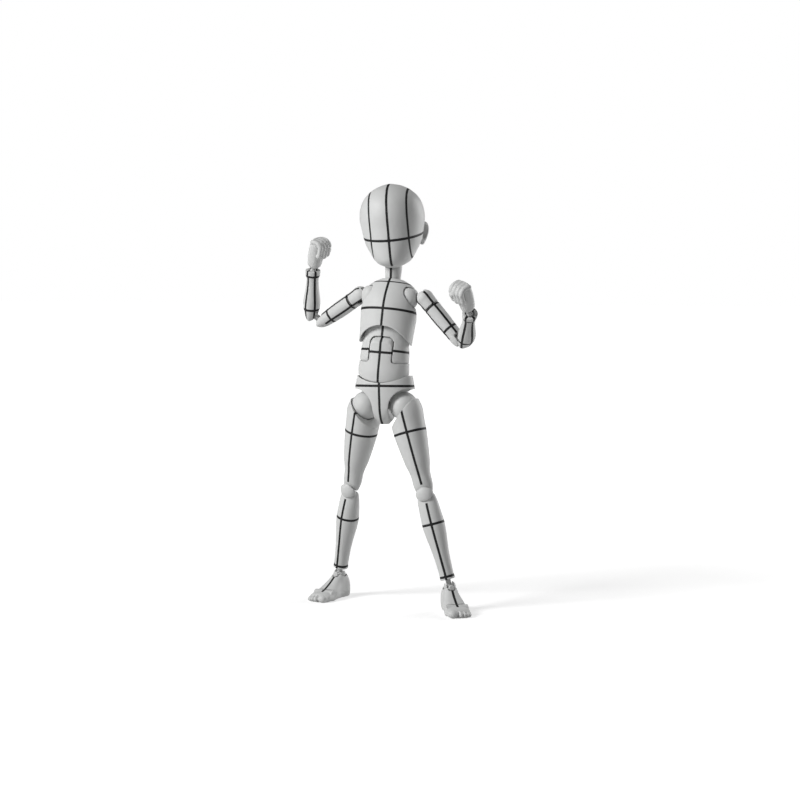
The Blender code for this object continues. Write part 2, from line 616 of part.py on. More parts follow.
def knuckle_outline(radius):
    """Section across four fingers side by side: distance across the hand and height above their axes."""
    half = FINGER_CLOSENESS * radius
    meet = math.acos(FINGER_CLOSENESS)
    outline = []
    for i in range(4):
        middle = (2 * i - 3) * half
        turns = [math.pi - meet, 0.61 * math.pi, 0.39 * math.pi]
        if i == 0:
            turns.insert(0, math.pi)
        if i == 3:
            turns += [meet, 0.0]
        outline += [(middle + radius * math.cos(turn), radius * math.sin(turn)) for turn in turns]
    edge = 3 * half + radius
    return outline + [(edge, -0.9 * radius), (-edge, -0.9 * radius)]


def fingers(sign, knuckle, tip, radius):
    """Four curled fingers in one sweep: out over the knuckles, then back along the palm."""
    bend = Vector((tip[0], knuckle[1]))
    before = (2 * bend + knuckle) / 3
    after = (2 * bend + tip) / 3
    path = ((knuckle, 0.5), (before, 0.5), (bend, 0.75), (after, 1.0), (tip, 1.0))
    rings = []
    for (x, z), turn in path:
        out = Vector((math.cos(math.pi * turn), -math.sin(math.pi * turn)))
        ring = [Vector((sign * (x + up * out.x), across, z + up * out.y))
                for across, up in knuckle_outline(radius)]
        rings.append(ring)
    return skin(rings)


def add_hand(figure, side, sign):
    """Closed fist with four curled fingers and a thumb, on a small ball in the cuff."""
    start = -WRIST_SPACE
    end = -(WRIST_SPACE + HAND_LENGTH)
    breadth, thick, r = HAND_BREADTH / 2, PALM_THICKNESS / 2, FINGER_RADIUS
    length = start - end
    shape = ((0.0, 0.42, 0.28), (0.09, 0.82, 0.55), (0.40, 1.02, 0.88), (0.70, 1.05, 1.0),
             (0.90, 0.85, 0.92), (1.0, 0.45, 0.60))
    knots = []
    for share, wide, deep in shape:
        knots.append((start - share * length, wide * thick, deep * breadth, deep * breadth))
    hand = figure.piece(side + "_hand", side + "_hand_turn", limb(knots, 6, 8, power=2.4), GREY)
    knuckle = Vector((0.1 * thick, end + 1.25 * r))
    tip = Vector((-thick - 0.55 * r, start - 0.48 * length))
    figure.boolean(hand, fingers(sign, knuckle, tip, r), "UNION")
    thumb = (-sign * 0.9 * thick, -0.82 * breadth, start - 0.50 * length)
    figure.boolean(hand, ball((1.05 * r, 0.9 * r, 0.24 * length), thumb, 8), "UNION")
    bore = WRIST_STEM_RADIUS + RUN_GAP
    deep = 3.2 * WRIST_SPACE
    figure.boolean(hand, rod(bore, (0, 0, 0), (0, 0, -deep), 10))
    profile = ball_end(WRIST_BALL_RADIUS, WRIST_STEM_RADIUS, -1)
    profile += [(WRIST_STEM_RADIUS, RUN_GAP - deep), (0.0, RUN_GAP - deep)]
    figure.piece(side + "_wrist_ball", side + "_wrist_bend", turned(profile, 8), JOINT_GREY)


def add_link(figure, name, frame, pitch, radius, plate, cap=None):
    """Double-hinge link: a plate between two hinge axes; a cap in front fills the notch where given."""
    half = plate / 2
    eye = radius - EYE_INSET
    link = figure.piece(name, frame, rod(eye, (-half, 0, 0), (half, 0, 0)), JOINT_GREY)
    figure.boolean(link, rod(eye, (-half, 0, -pitch), (half, 0, -pitch)), "UNION")
    figure.boolean(link, box((-half, -0.8 * eye, -pitch), (half, 0.8 * eye, 0)), "UNION")
    if cap:
        wide, tall, depth = cap
        middle = (0, -0.62 * radius, -pitch / 2)
        shield = figure.boolean(link, ball((wide, depth, tall), middle, BALL_SIDES), "UNION")
        for z in (0, -pitch):
            figure.boolean(shield, rod(radius + RUN_GAP, (-2 * wide, 0, z), (2 * wide, 0, z), DRUM_SIDES))


def prism(outline, start, end):
    """Solid with a y-z outline, carried straight across in x."""
    return skin([[Vector((x, y, z)) for y, z in outline] for x in (start, end)])


def knuckle_end(figure, obj, z, radius, plate, away, back):
    """Slot a limb's rounded end for the link's plate, open towards the side the link swings to."""
    wide = 4 * radius
    room = radius - EYE_INSET + RUN_GAP
    outline = [(wide, -wide), (wide, room)] + arc(room, 90, 180, 4) + [(-wide, 0.0), (-wide, -wide)]
    placed = [(back * across, z - away * up) for across, up in outline]
    slot = plate / 2 + RUN_GAP
    figure.boolean(obj, prism(placed, -slot, slot))


def add_arm(figure, side, sign):
    """One arm: swinging drum, shoulder peg, shoulder cap, upper arm, elbow link and forearm."""
    name = side + "_"
    reach = SWING_TO_SHOULDER
    drum = figure.piece(name + "shoulder_drum", name + "arm_forward", skin(swing_drum()), GREY)
    bore = SHOULDER_PEG_RADIUS + RUN_GAP
    inner = 0.55 * SWING_DRUM_RADIUS
    shoulder = (sign * reach, SWING_FORWARD, 0)
    figure.boolean(drum, rod(bore, (-sign * inner, SWING_FORWARD, 0), shoulder))
    figure.boolean(drum, ball(SHOULDER_CAP_RADIUS + RUN_GAP, shoulder, BALL_SIDES))
    length = reach + inner - RUN_GAP
    profile = ball_end(SHOULDER_BALL_RADIUS, SHOULDER_PEG_RADIUS, 1)
    peg = turned(profile + [(SHOULDER_PEG_RADIUS, length), (0.0, length)])
    peg.transform(Matrix.Rotation(-sign * math.pi / 2, 4, "Y"))
    figure.piece(name + "shoulder_peg", name + "arm_swing", peg, JOINT_GREY)
    dome = ball(SHOULDER_CAP_RADIUS, sides=BALL_SIDES)
    cap = figure.piece(name + "shoulder_cap", name + "arm_raise", dome, GREY)
    seam, brow = 0.97 * UPPER_ARM_RADIUS, 0.98 * SHOULDER_CAP_RADIUS
    neck = limb(((-ARM_SEAM_DROP, seam, seam, seam), (0, brow, brow, brow)), 1)
    figure.boolean(cap, neck, "UNION")
    figure.boolean(cap, ball(SHOULDER_BALL_RADIUS + RUN_GAP))
    wide = 3 * SHOULDER_CAP_RADIUS
    figure.boolean(cap, box((0, -bore, -0.35 * bore), (-sign * wide, bore, wide)))
    figure.boolean(cap, box((0, -bore, 0), (sign * 1.05 * bore, bore, wide)))
    pin = 0.5 * UPPER_ARM_RADIUS
    figure.boolean(cap, rod(pin + RUN_GAP, (0, 0, 0), (0, 0, -wide)))
    axis = -(SHOULDER_TO_ELBOW - ELBOW_PITCH / 2)
    top = -(ARM_SEAM_DROP + RUN_GAP)
    u, e = UPPER_ARM_RADIUS, ELBOW_RADIUS
    arm = figure.piece(name + "upper_arm", name + "arm_turn", limb(
        ((top, seam, seam, seam), (0.5 * axis, 0.97 * u, 0.97 * u, u),
         (axis + 2 * e, 0.90 * u, 0.90 * u, 0.92 * u), (axis, 0.88 * u, 0.98 * e, 1.0 * e),
         (axis - 0.8 * e, 0.76 * u, 0.58 * e, 0.60 * e), (axis - e, 0.70 * u, 0.12 * e, 0.12 * e)), 9), GREY)
    figure.boolean(arm, rod(pin, (0, 0, 1.2 * top), (0, 0, -(SHOULDER_BALL_RADIUS + 2 * RUN_GAP))), "UNION")
    knuckle_end(figure, arm, axis, e, ELBOW_PLATE, -1, -1)
    add_link(figure, name + "elbow_link", name + "elbow_upper", ELBOW_PITCH, e, ELBOW_PLATE)
    f, m, c = FOREARM_RADIUS, FOREARM_WAIST, CUFF_RADIUS
    wrist = -(ELBOW_TO_WRIST - ELBOW_PITCH / 2)
    cuff = wrist - CUFF_OVERHANG
    fore = figure.piece(name + "forearm", name + "elbow_lower", limb(
        ((e, 0.72 * f, 0.12 * e, 0.12 * e), (0.8 * e, 0.82 * f, 0.58 * e, 0.60 * e),
         (0, 0.95 * f, 0.98 * e, 1.0 * e), (-1.7 * e, 0.97 * f, 0.96 * f, 0.98 * f),
         (0.62 * wrist, 1.08 * m, 1.08 * m, 1.08 * m), (0.84 * wrist, m, m, m),
         (0.94 * wrist, 0.97 * c, 0.97 * c, 0.97 * c), (cuff, c, c, c)), 10), GREY)
    knuckle_end(figure, fore, 0, e, ELBOW_PLATE, 1, -1)
    room = WRIST_BALL_RADIUS + RUN_GAP
    figure.boolean(fore, socket(room, 0.8 * room, 1.7 * room, 1.3 * room, -1, wrist))
    add_hand(figure, side, sign)


def foot_ring(y, half_width, height, low=0.0, sides=12, power=2.6):
    """Upright ring across the foot with a flat sole."""
    ring = []
    for i in range(sides):
        turn = 2 * math.pi * (i + 0.5) / sides
        c, s = math.cos(turn), math.sin(turn)
        x = math.copysign(abs(c) ** (2 / power), c) * half_width
        lift = math.copysign(abs(s) ** (2 / power), s)
        z = height * 0.42 + lift * height * (0.58 if s > 0 else 0.55)
        ring.append(Vector((x, y, low + max(z, 0.0))))
    return ring


def add_foot(figure, side, sign):
    """Foot with a hinged toe piece, and the two small pieces of the ankle."""
    name = side + "_"
    sole = -ANKLE_HEIGHT
    w, h = FOOT_HALF_WIDTH, HEEL_HALF_WIDTH
    hinge, rise = TOE_HINGE_REACH, TOE_HINGE_RISE
    knots = ((FOOT_HEEL, 0.55 * h, 0.55 * ANKLE_HEIGHT), (0.86 * FOOT_HEEL, 0.85 * h, 0.80 * ANKLE_HEIGHT),
             (0.45 * FOOT_HEEL, h, 1.06 * ANKLE_HEIGHT), (-0.1 * hinge, h, 1.12 * ANKLE_HEIGHT),
             (-0.35 * hinge, 1.05 * h, 0.92 * ANKLE_HEIGHT), (-0.68 * hinge, 0.90 * w, 0.66 * ANKLE_HEIGHT),
             (-hinge, w, 2.25 * rise))
    rings = [foot_ring(y, x, z, sole) for y, x, z in spline(knots, 7)]
    foot = figure.piece(name + "foot", name + "ankle_roll", skin(rings), GREY)
    roll = rise + RUN_GAP
    figure.boolean(foot, rod(roll, (-2 * w, -hinge, sole + rise), (2 * w, -hinge, sole + rise), DRUM_SIDES))
    under = box((-2 * w, -2 * hinge, sole - rise), (2 * w, -hinge, sole + 4 * rise))
    figure.boolean(foot, under)
    ball_room = ANKLE_BALL_RADIUS + RUN_GAP
    figure.boolean(foot, ball(ball_room, sides=BALL_SIDES))
    figure.boolean(foot, rod(0.95 * ball_room, (0, 0, 0), (0, 0, 3 * ball_room), BALL_SIDES, 1.2 * ball_room))
    pin = 0.45 * ANKLE_BALL_RADIUS
    figure.boolean(foot, rod(pin + RUN_GAP, (0, -2.4 * pin, 0), (0, -1.6 * ANKLE_BALL_RADIUS, 0), 10))
    core = ball(ANKLE_BALL_RADIUS, sides=BALL_SIDES)
    block = figure.piece(name + "ankle_block", name + "ankle_pitch", core, JOINT_GREY)
    figure.boolean(block, rod(pin, (0, 0, 0), (0, RUN_GAP - 1.6 * ANKLE_BALL_RADIUS, 0), 10), "UNION")
    slot = ANKLE_PEG_RADIUS + RUN_GAP
    size = 3 * ANKLE_BALL_RADIUS
    eye_radius = 1.1 * ANKLE_PEG_RADIUS
    c, s = math.cos(math.radians(ANKLE_SWING)), math.sin(math.radians(ANKLE_SWING))
    room = eye_radius + RUN_GAP
    swept = arc(room, -ANKLE_SWING, ANKLE_SWING - 180, 6)
    swept += [(-s * size - c * room, c * size - s * room), (s * size + c * room, c * size - s * room)]
    figure.boolean(block, prism(swept, -slot, slot))
    eye = rod(eye_radius, (-ANKLE_PEG_RADIUS, 0, 0), (ANKLE_PEG_RADIUS, 0, 0))
    peg = figure.piece(name + "ankle_peg", name + "ankle_turn", eye, JOINT_GREY)
    figure.boolean(peg, rod(ANKLE_PEG_RADIUS, (0, 0, 0), (0, 0, 2.4 * ANKLE_RING_RISE)), "UNION")
    add_toe(figure, name, sign)


def add_toe(figure, name, sign):
    """Front of the foot with five toes, hinged across the ball of the foot."""
    rise, w = TOE_HINGE_RISE, FOOT_HALF_WIDTH
    reach = FOOT_REACH - TOE_HINGE_REACH
    knots = ((0.0, w, 1.95 * rise), (-0.35 * reach, 1.04 * w, 1.84 * rise),
             (-0.72 * reach, 1.0 * w, 1.55 * rise), (-0.93 * reach, 0.86 * w, 1.15 * rise),
             (-reach, 0.66 * w, 0.62 * rise))
    rings = [foot_ring(y, x, z, -rise) for y, x, z in spline(knots, 5)]
    toe = figure.piece(name + "toes", name + "toe_bend", skin(rings), GREY)
    figure.boolean(toe, rod(rise, (-0.97 * w, 0, 0), (0.97 * w, 0, 0), DRUM_SIDES), "UNION")
    for share in (-0.16, 0.22, 0.54, 0.80):
        x = sign * share * w
        inner, outer = x - TOE_GROOVE / 2, x + TOE_GROOVE / 2
        groove = box((inner, -2 * reach, -0.2 * rise), (outer, -0.62 * reach, 2 * rise))
        figure.boolean(toe, groove)


def add_leg(figure, side, sign):
    """One leg: hip axle and ball, thigh, knee link with its cap, shin, ankle and foot."""
    name = side + "_"
    r = HIP_BALL_RADIUS
    inner = HIP_SPACING / 2 - CROTCH_WEB / 2 - RUN_GAP
    profile = ball_end(HIP_EYE_RADIUS, HIP_PEG_RADIUS, 1) + [(HIP_PEG_RADIUS, inner), (0.0, inner)]
    axle = turned(profile)
    axle.transform(Matrix.Rotation(-sign * math.pi / 2, 4, "Y"))
    figure.piece(name + "hip_axle", name + "hip_swing", axle, JOINT_GREY)
    hip = figure.piece(name + "hip_ball", name + "hip_spread", ball(r, sides=BALL_SIDES), GREY)
    figure.boolean(hip, ball(HIP_EYE_RADIUS + RUN_GAP))
    slot = HIP_PEG_RADIUS + RUN_GAP
    figure.boolean(hip, box((0, -slot, -0.5 * r), (-sign * 2 * r, slot, 1.6 * r)))
    pin = HIP_PEG_RADIUS
    figure.boolean(hip, rod(pin + RUN_GAP, (0, 0, 0), (0, 0, -2 * r)))
    t, k = THIGH_RADIUS, KNEE_RADIUS
    axis = -(HIP_TO_KNEE - KNEE_PITCH / 2)
    outer = r + RUN_GAP + THIGH_WALL
    thigh = figure.piece(name + "thigh", name + "thigh_turn", limb(
        ((0.25 * r, 0.90 * outer, 0.90 * outer, 0.90 * outer), (-0.4 * r, outer, outer, outer),
         (-1.2 * r, 1.02 * t, 1.05 * t, 1.06 * t), (0.38 * axis, 0.97 * t, t, 1.02 * t),
         (0.70 * axis, 0.76 * t, 0.80 * t, 0.78 * t), (axis + 1.4 * k, 0.60 * t, 1.25 * k, 1.12 * k),
         (axis, 0.58 * t, 1.10 * k, k), (axis - 0.75 * k, 0.50 * t, 0.66 * k, 0.66 * k),
         (axis - k, 0.46 * t, 0.12 * k, 0.12 * k)), 9), GREY)
    figure.boolean(thigh, ball(r + RUN_GAP, sides=BALL_SIDES))
    crop = 3 * r
    tilt = box((-crop, -crop, 0), (crop, crop, 2 * crop))
    tilt.transform(Matrix.Translation((0, 0, -0.42 * r)) @ Matrix.Rotation(-sign * math.radians(38), 4, "Y"))
    figure.boolean(thigh, tilt)
    figure.boolean(thigh, rod(pin, (0, 0, -1.4 * r), (0, 0, -(HIP_EYE_RADIUS + 2 * RUN_GAP))), "UNION")
    cap = (KNEECAP_HALF_WIDTH, KNEECAP_HALF_HEIGHT, 0.75 * k)
    room = tuple(size + RUN_GAP for size in (cap[0], cap[2], cap[1]))
    recess = figure.boolean(thigh, ball(room, (0, -0.62 * k, axis - KNEE_PITCH / 2), BALL_SIDES))
    figure.boolean(recess, rod(0.985 * k, (-t, 0, axis), (t, 0, axis), DRUM_SIDES))
    knuckle_end(figure, thigh, axis, k, KNEE_PLATE, -1, 1)
    add_link(figure, name + "knee_link", name + "knee_upper", KNEE_PITCH, k, KNEE_PLATE, cap)
    c, a = CALF_RADIUS, ANKLE_RING_RADIUS
    ankle = -(KNEE_TO_ANKLE - KNEE_PITCH / 2)
    ring = ankle + ANKLE_RING_RISE
    shin = figure.piece(name + "shin", name + "knee_lower", limb(
        ((k, 0.70 * c, 0.12 * k, 0.12 * k), (0.75 * k, 0.80 * c, 0.66 * k, 0.66 * k),
         (0, 0.90 * c, 1.10 * k, k), (-1.5 * k, 0.97 * c, 1.22 * k, 1.05 * c),
         (0.30 * ankle, c, 0.95 * c, 1.2 * c),
         (0.62 * ankle, 0.72 * c, 0.78 * c, 0.82 * c), (ring - 0.6 * ring / 9, 0.94 * a, 0.98 * a, 0.98 * a),
         (ring, a, a, a)), 9), GREY)
    recess = figure.boolean(shin, ball(room, (0, -0.62 * k, KNEE_PITCH / 2), BALL_SIDES))
    figure.boolean(recess, rod(0.985 * k, (-2 * c, 0, 0), (2 * c, 0, 0), DRUM_SIDES))
    knuckle_end(figure, shin, 0, k, KNEE_PLATE, 1, 1)
    bore = ANKLE_PEG_RADIUS + RUN_GAP
    figure.boolean(shin, rod(bore, (0, 0, ankle), (0, 0, ankle + 2.4 * ANKLE_RING_RISE + RUN_GAP)))
    add_foot(figure, side, sign)


def settle(figure):
    """Move the figure so that its lowest point is z = 0 and it stands over the origin."""
    bpy.context.view_layer.update()
    graph = bpy.context.evaluated_depsgraph_get()
    corners = []
    for obj in figure.parts.objects:
        shape = obj.evaluated_get(graph)
        corners += [shape.matrix_world @ vertex.co for vertex in shape.data.vertices]
    low = Vector([min(corner[i] for corner in corners) for i in range(3)])
    high = Vector([max(corner[i] for corner in corners) for i in range(3)])
    middle = (low + high) / 2
    figure.frame["root"].location -= Vector((middle.x, middle.y, low.z))
    bpy.context.view_layer.update()


def main():
    clear_scene()
    figure = Figure()
    add_joints(figure)
    add_head(figure)
    add_chest(figure)
    add_belly(figure)
    add_pelvis(figure)
    for side, sign in SIDES.items():
        add_arm(figure, side, sign)
        add_leg(figure, side, sign)
    settle(figure)


main()
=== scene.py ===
"""Posable drawing mannequin: moulded shells and printed guide lines over its jointed solids.

Every shell is worked out in millimetres in the frame of its own joint, finished as a fine even
skin with eased edges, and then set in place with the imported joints.
"""
import json
import math

import bmesh
import bpy
import numpy as np
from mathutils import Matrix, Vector


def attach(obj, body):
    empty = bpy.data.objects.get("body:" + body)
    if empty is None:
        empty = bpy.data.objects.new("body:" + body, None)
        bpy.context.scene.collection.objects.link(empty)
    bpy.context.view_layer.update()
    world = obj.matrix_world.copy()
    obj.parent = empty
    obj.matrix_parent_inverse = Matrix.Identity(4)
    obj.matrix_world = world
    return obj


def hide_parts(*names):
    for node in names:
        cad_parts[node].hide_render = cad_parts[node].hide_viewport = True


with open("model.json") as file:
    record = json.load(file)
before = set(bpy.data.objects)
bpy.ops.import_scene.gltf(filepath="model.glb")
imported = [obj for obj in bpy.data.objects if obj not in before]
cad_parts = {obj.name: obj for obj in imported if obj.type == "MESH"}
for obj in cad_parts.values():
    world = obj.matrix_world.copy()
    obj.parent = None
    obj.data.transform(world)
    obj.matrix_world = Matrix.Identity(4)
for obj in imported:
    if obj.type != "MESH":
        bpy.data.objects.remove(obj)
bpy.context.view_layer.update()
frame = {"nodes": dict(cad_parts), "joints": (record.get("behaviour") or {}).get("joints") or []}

bl_info = {
    "name": "Posable drawing mannequin",
    "version": (1, 0, 0),
    "blender": (4, 5, 0),
    "location": "View3D > Sidebar > Mannequin",
    "description": "Dresses a jointed drawing mannequin in moulded plastic with guide lines",
    "category": "Object",
}

JOINTS = {joint["name"]: joint for joint in frame["joints"]}
SIDES = {"left_": 1.0, "right_": -1.0}

# Running gap between moving pieces and bond gap between halves, in millimetres
GAP = 0.28
BOND = 0.06
PARTING = 0.37

# Head and neck, in millimetres and degrees
HEAD_HEIGHT = 19.5
HEAD_HALF_WIDTH = 7.6
HEAD_FRONT = 8.2
HEAD_BACK = 8.9
CHIN = -3.0
HEAD_LEAN = 3.0
HEAD_AIM = 9.0
EYE_LINE = 0.31
EYE_SLOPE = 11.5
FACE_LINE = 4.4
EAR_SETBACK = 3.5
EAR_SINK = 2.35
EAR_TURN = 38.0
NECK_RADIUS = 2.0
NECK_BALL = 2.3
NECK_LENGTH = 3.8
NECK_RISE = 1.5
NECK_ROOM = 0.75
HEAD_BALL = 1.6
HEAD_BALL_RISE = 3.2
PEG_BALL = 1.1
PEG_STEM = 0.7

# Trunk, in millimetres and degrees
CHEST_WIDTH = 6.8
CHEST_FRONT = 5.2
CHEST_BACK = 4.9
CHEST_TOP = 9.7
CHEST_SKIRT = 5.5
CHEST_WALL = 0.6
CHEST_LINE = 2.1
COLLAR_SEAM = 8.75
COLLAR_THINNER = 0.11
NECK_SEAT = 8.5
ARCH_RISE = 3.6
SHOULDER_RISE = 5.8
DRUM_SPACING = 9.0
DRUM_FORWARD = 0.8
DRUM_RADIUS = 2.4
DRUM_HEIGHT = 5.2
SHOULDER_REACH = 3.8
ARM_SWEEP = 24.0
ARM_LOW = 14.0
SPINE_POST = 0.9
SPINE_LENGTH = 5.0
SPINE_BALL = 1.5
BELLY_WIDTH = 5.8
BELLY_DEPTH = 4.1
BELLY_DRUM = 4.0
BELLY_LINES = {"lower": 0.15, "upper": 0.45}
TONGUE = 2.65
NOTCH_RISE = 2.6
TAB_DROP = 1.9
TAB_HUB = 2.6
TAB_HUB_REACH = 0.8
WAIST_TO_CHEST = 7.5
WAIST_BALL = 1.6
WAIST_POST = 1.0
WAIST_SEAT = 1.6
WAIST_CAP = 7.9
WAIST_RISE = 12.2
PELVIS_WIDTH = 7.1
PELVIS_DEPTH = 4.6
PELVIS_TOP = 7.0
PELVIS_DROP = 4.3
PELVIS_LINE = 4.6
PELVIS_CORE = 0.4
HIP_SPACING = 9.2
LEG_ROOM = 0.9

# Limbs, in millimetres and degrees
PEG = 0.8
CAP_RADIUS = 2.1
SHOULDER_BALL = 1.25
ARM_SEAM = 2.4
ARM_RADIUS = 2.0
ELBOW = 1.5
ELBOW_AXIS = -12.35
ELBOW_PITCH = 3.3
ELBOW_PLATE = 1.2
FOREARM_RADIUS = 2.1
FOREARM_WAIST = 1.45
CUFF = 1.8
WRIST_AXIS = -10.55
WRIST_BALL = 0.85
WRIST_STEM = 0.45
WRIST_BORE = 3.04
HAND_START = -0.95
HAND_LENGTH = 7.65
HAND_TURN = {"left_": 0.0, "right_": -80.0}
HAND_HALF_BREADTH = 2.2
PALM_HALF = 1.5
FINGER = 0.64
THUMB = 0.66
HIP_BALL = 3.3
HIP_EYE = 1.5
HIP_PEG = 0.9
THIGH = 3.9
THIGH_WALL = 0.6
THIGH_SLANT = 38.0
THIGH_RING = -6.4
KNEE = 1.9
KNEE_AXIS = -18.95
KNEE_PITCH = 4.1
KNEE_PLATE = 1.5
KNEECAP = (2.1, 1.3, 2.1)
EYE_INSET = 0.8
CALF = 2.6
SHIN_RING = -5.0
ANKLE_AXIS = -19.95
ANKLE_RING = 1.78
ANKLE_RISE = 1.75
ANKLE_BALL = 1.4
ANKLE_PEG = 0.6
ANKLE_EYE = 0.66
ANKLE_SWING = 33.0
SOLE = -5.6
FOOT_HEEL = 2.5
FOOT_WIDTH = 2.7
HEEL_WIDTH = 1.85
TOE_HINGE = 6.2
TOE_RISE = 1.25
TOE_REACH = 4.2
TOE_GAP = 0.07

# Turn of the long lines about each upper arm and forearm, in degrees
ARM_LINES = {"left_": (0.0, 90.0), "right_": (28.0, 118.0)}
FOREARM_LINES = {"left_": (96.0, 163.0), "right_": (-44.6, 23.4)}

# Camera and lights, in metres, watts and degrees
# A light stands so far across, towards the camera and up from the aim
AZIMUTH = 17.55
ELEVATION = 3.68
DISTANCE = 0.4387
AIM = np.array((-0.00128, 0.001595, 0.052))
LENS_SHIFT = (0.0191, -0.0208)
LIGHTS = (("key", 3.4, 0.22, (-0.46, 0.24, 0.30)), ("fill", 0.22, 0.5, (-0.10, 0.55, 0.10)),
          ("rim", 1.7, 0.30, (0.42, -0.28, 0.16)))


def mesh_of(points, faces):
    """Put rows of points and faces into a mesh, with every face turned outward."""
    mesh = bpy.data.meshes.new("surface")
    mesh.from_pydata(points.tolist(), [], faces)
    shape = bmesh.new()
    shape.from_mesh(mesh)
    bmesh.ops.recalc_face_normals(shape, faces=shape.faces)
    shape.to_mesh(mesh)
    shape.free()
    return mesh


def skin(rings, poles=None):
    """Closed skin on a grid (ring, side): quads between neighbours and a fan to a pole at each end."""
    count, sides = rings.shape[:2]
    ends = rings[[0, -1]].mean(axis=1) if poles is None else poles
    points = np.vstack((rings.reshape(-1, 3), ends))
    here = np.arange(count * sides).reshape(count, sides)
    beside = np.roll(here, -1, axis=1)
    quads = np.stack((here[:-1], beside[:-1], beside[1:], here[1:]), axis=2).reshape(-1, 4)
    first = np.stack((beside[0], here[0], np.full(sides, count * sides)), axis=1)
    last = np.stack((here[-1], beside[-1], np.full(sides, count * sides + 1)), axis=1)
    return mesh_of(points, quads.tolist() + first.tolist() + last.tolist())


def turns(sides):
    """Even angles round a full turn, half a step off the axes."""
    return 2 * np.pi * (np.arange(sides) + 0.5) / sides


def flow(knots, count):
    """Smooth rows through knot rows: cubic pieces paced by the distance between the first two columns."""
    rows = np.array(knots, float)
    at = np.concatenate(([0.0], np.cumsum(np.linalg.norm(np.diff(rows[:, :2], axis=0), axis=1))))
    number = np.arange(len(rows))
    low, high = np.maximum(number - 1, 0), np.minimum(number + 1, len(rows) - 1)
    slope = (rows[high] - rows[low]) / (at[high] - at[low])[:, None]
    along = np.linspace(0.0, at[-1], count)
    k = np.clip(np.searchsorted(at, along, side="right") - 1, 0, len(rows) - 2)
    span = (at[k + 1] - at[k])[:, None]
    t = (along[:, None] - at[k][:, None]) / span
    rise = 3 * t ** 2 - 2 * t ** 3
    return ((1 - rise) * rows[k] + rise * rows[k + 1] + (t ** 3 - 2 * t ** 2 + t) * span * slope[k]
            + (t ** 3 - t ** 2) * span * slope[k + 1])


def oval(sides, power):
    """Cosine and sine round a full turn, raised to 2/power with their signs kept: this squares an oval."""
    circle = np.stack((np.cos(turns(sides)), np.sin(turns(sides))))
    return np.sign(circle) * np.abs(circle) ** (2 / power)


def limb(knots, rings=64, sides=64, power=2.0):
    """Level ovals up a limb: x = width cos, y = front or back depth sin. A knot is a height and a radius,
    a height, a width and a depth, or a height, a width, a front and a back."""
    rows = [(knot[0], knot[1], knot[min(2, len(knot) - 1)], knot[-1]) for knot in knots]
    z, width, front, back = flow(rows, rings).T[:, :, None]
    c, s = oval(sides, power)
    x = width * c
    return skin(np.stack((x, np.where(s > 0, back, front) * s, z + 0 * x), axis=2))


def turned(profile, sides=64):
    """Profile of radius and height spun about the upright axis: (r cos, r sin, z), closed at both poles."""
    rows = np.array(profile, float)
    body = rows[rows[:, 0] > 1e-6]
    x = np.outer(body[:, 0], np.cos(turns(sides)))
    y = np.outer(body[:, 0], np.sin(turns(sides)))
    z = np.repeat(body[:, 1:2], sides, axis=1)
    poles = np.array(((0, 0, rows[0, 1]), (0, 0, rows[-1, 1])))
    return skin(np.stack((x, y, z), axis=2), poles)


def vectors(items, key):
    """One vector for each item of a mesh, as an array."""
    flat = np.empty(len(items) * 3, np.float32)
    items.foreach_get(key, flat)
    return flat.reshape(-1, 3).astype(float)


def reshape(mesh, rule):
    """Move a mesh's points by a rule given for the whole array."""
    points = rule(vectors(mesh.vertices, "co"))
    mesh.vertices.foreach_set("co", points.astype(np.float32).ravel())
    mesh.update()
    return mesh


def spun(points, angle, first, second):
    """Points turned by an angle in degrees from one axis towards another."""
    c, s = math.cos(math.radians(angle)), math.sin(math.radians(angle))
    out = points.copy()
    out[:, first] = c * points[:, first] - s * points[:, second]
    out[:, second] = s * points[:, first] + c * points[:, second]
    return out


def ball(radius, centre=(0, 0, 0), sides=64):
    """Ellipsoid: centre plus radii times (cos rise cos turn, cos rise sin turn, sin rise)."""
    rise = np.linspace(-0.5, 0.5, sides // 2 + 1) * np.pi
    profile = np.stack((np.cos(rise), np.sin(rise)), axis=1)
    return reshape(turned(profile, sides), lambda p: p * np.array(radius) + np.array(centre))


def rod(radius, start, end, tip=None, sides=64):
    """Cylinder or cone: rings square to the line between two points."""
    ends = np.array((start, end), float)
    along = (ends[1] - ends[0]) / np.linalg.norm(ends[1] - ends[0])
    across = np.cross(along, (0.31, 0.54, 0.78))
    across /= np.linalg.norm(across)
    ring = np.outer(np.cos(turns(sides)), across) + np.outer(np.sin(turns(sides)), np.cross(along, across))
    radii = np.array((radius, radius if tip is None else tip))[:, None, None]
    return skin(ends[:, None, :] + radii * ring, ends)


def post(radius, start, end, tip=None):
    """Upright cylinder or cone between two heights."""
    return rod(radius, (0, 0, start), (0, 0, end), tip)


def pin(radius, half, y=0.0, z=0.0):
    """Cylinder across the body, as a hinge pin lies."""
    return rod(radius, (-half, y, z), (half, y, z))


def tube(path, radii, across=(0, 1, 0), sides=28):
    """Round section carried along a path: centre plus radius times two directions square to the path."""
    ahead = np.gradient(path, axis=0)
    ahead /= np.linalg.norm(ahead, axis=1)[:, None]
    side = np.array(across, float) - ahead * (ahead @ np.array(across, float))[:, None]
    side /= np.linalg.norm(side, axis=1)[:, None]
    up = np.cross(ahead, side)
    c, s = np.cos(turns(sides))[None, :, None], np.sin(turns(sides))[None, :, None]
    return skin(path[:, None, :] + radii[:, None, None] * (c * side[:, None, :] + s * up[:, None, :]))


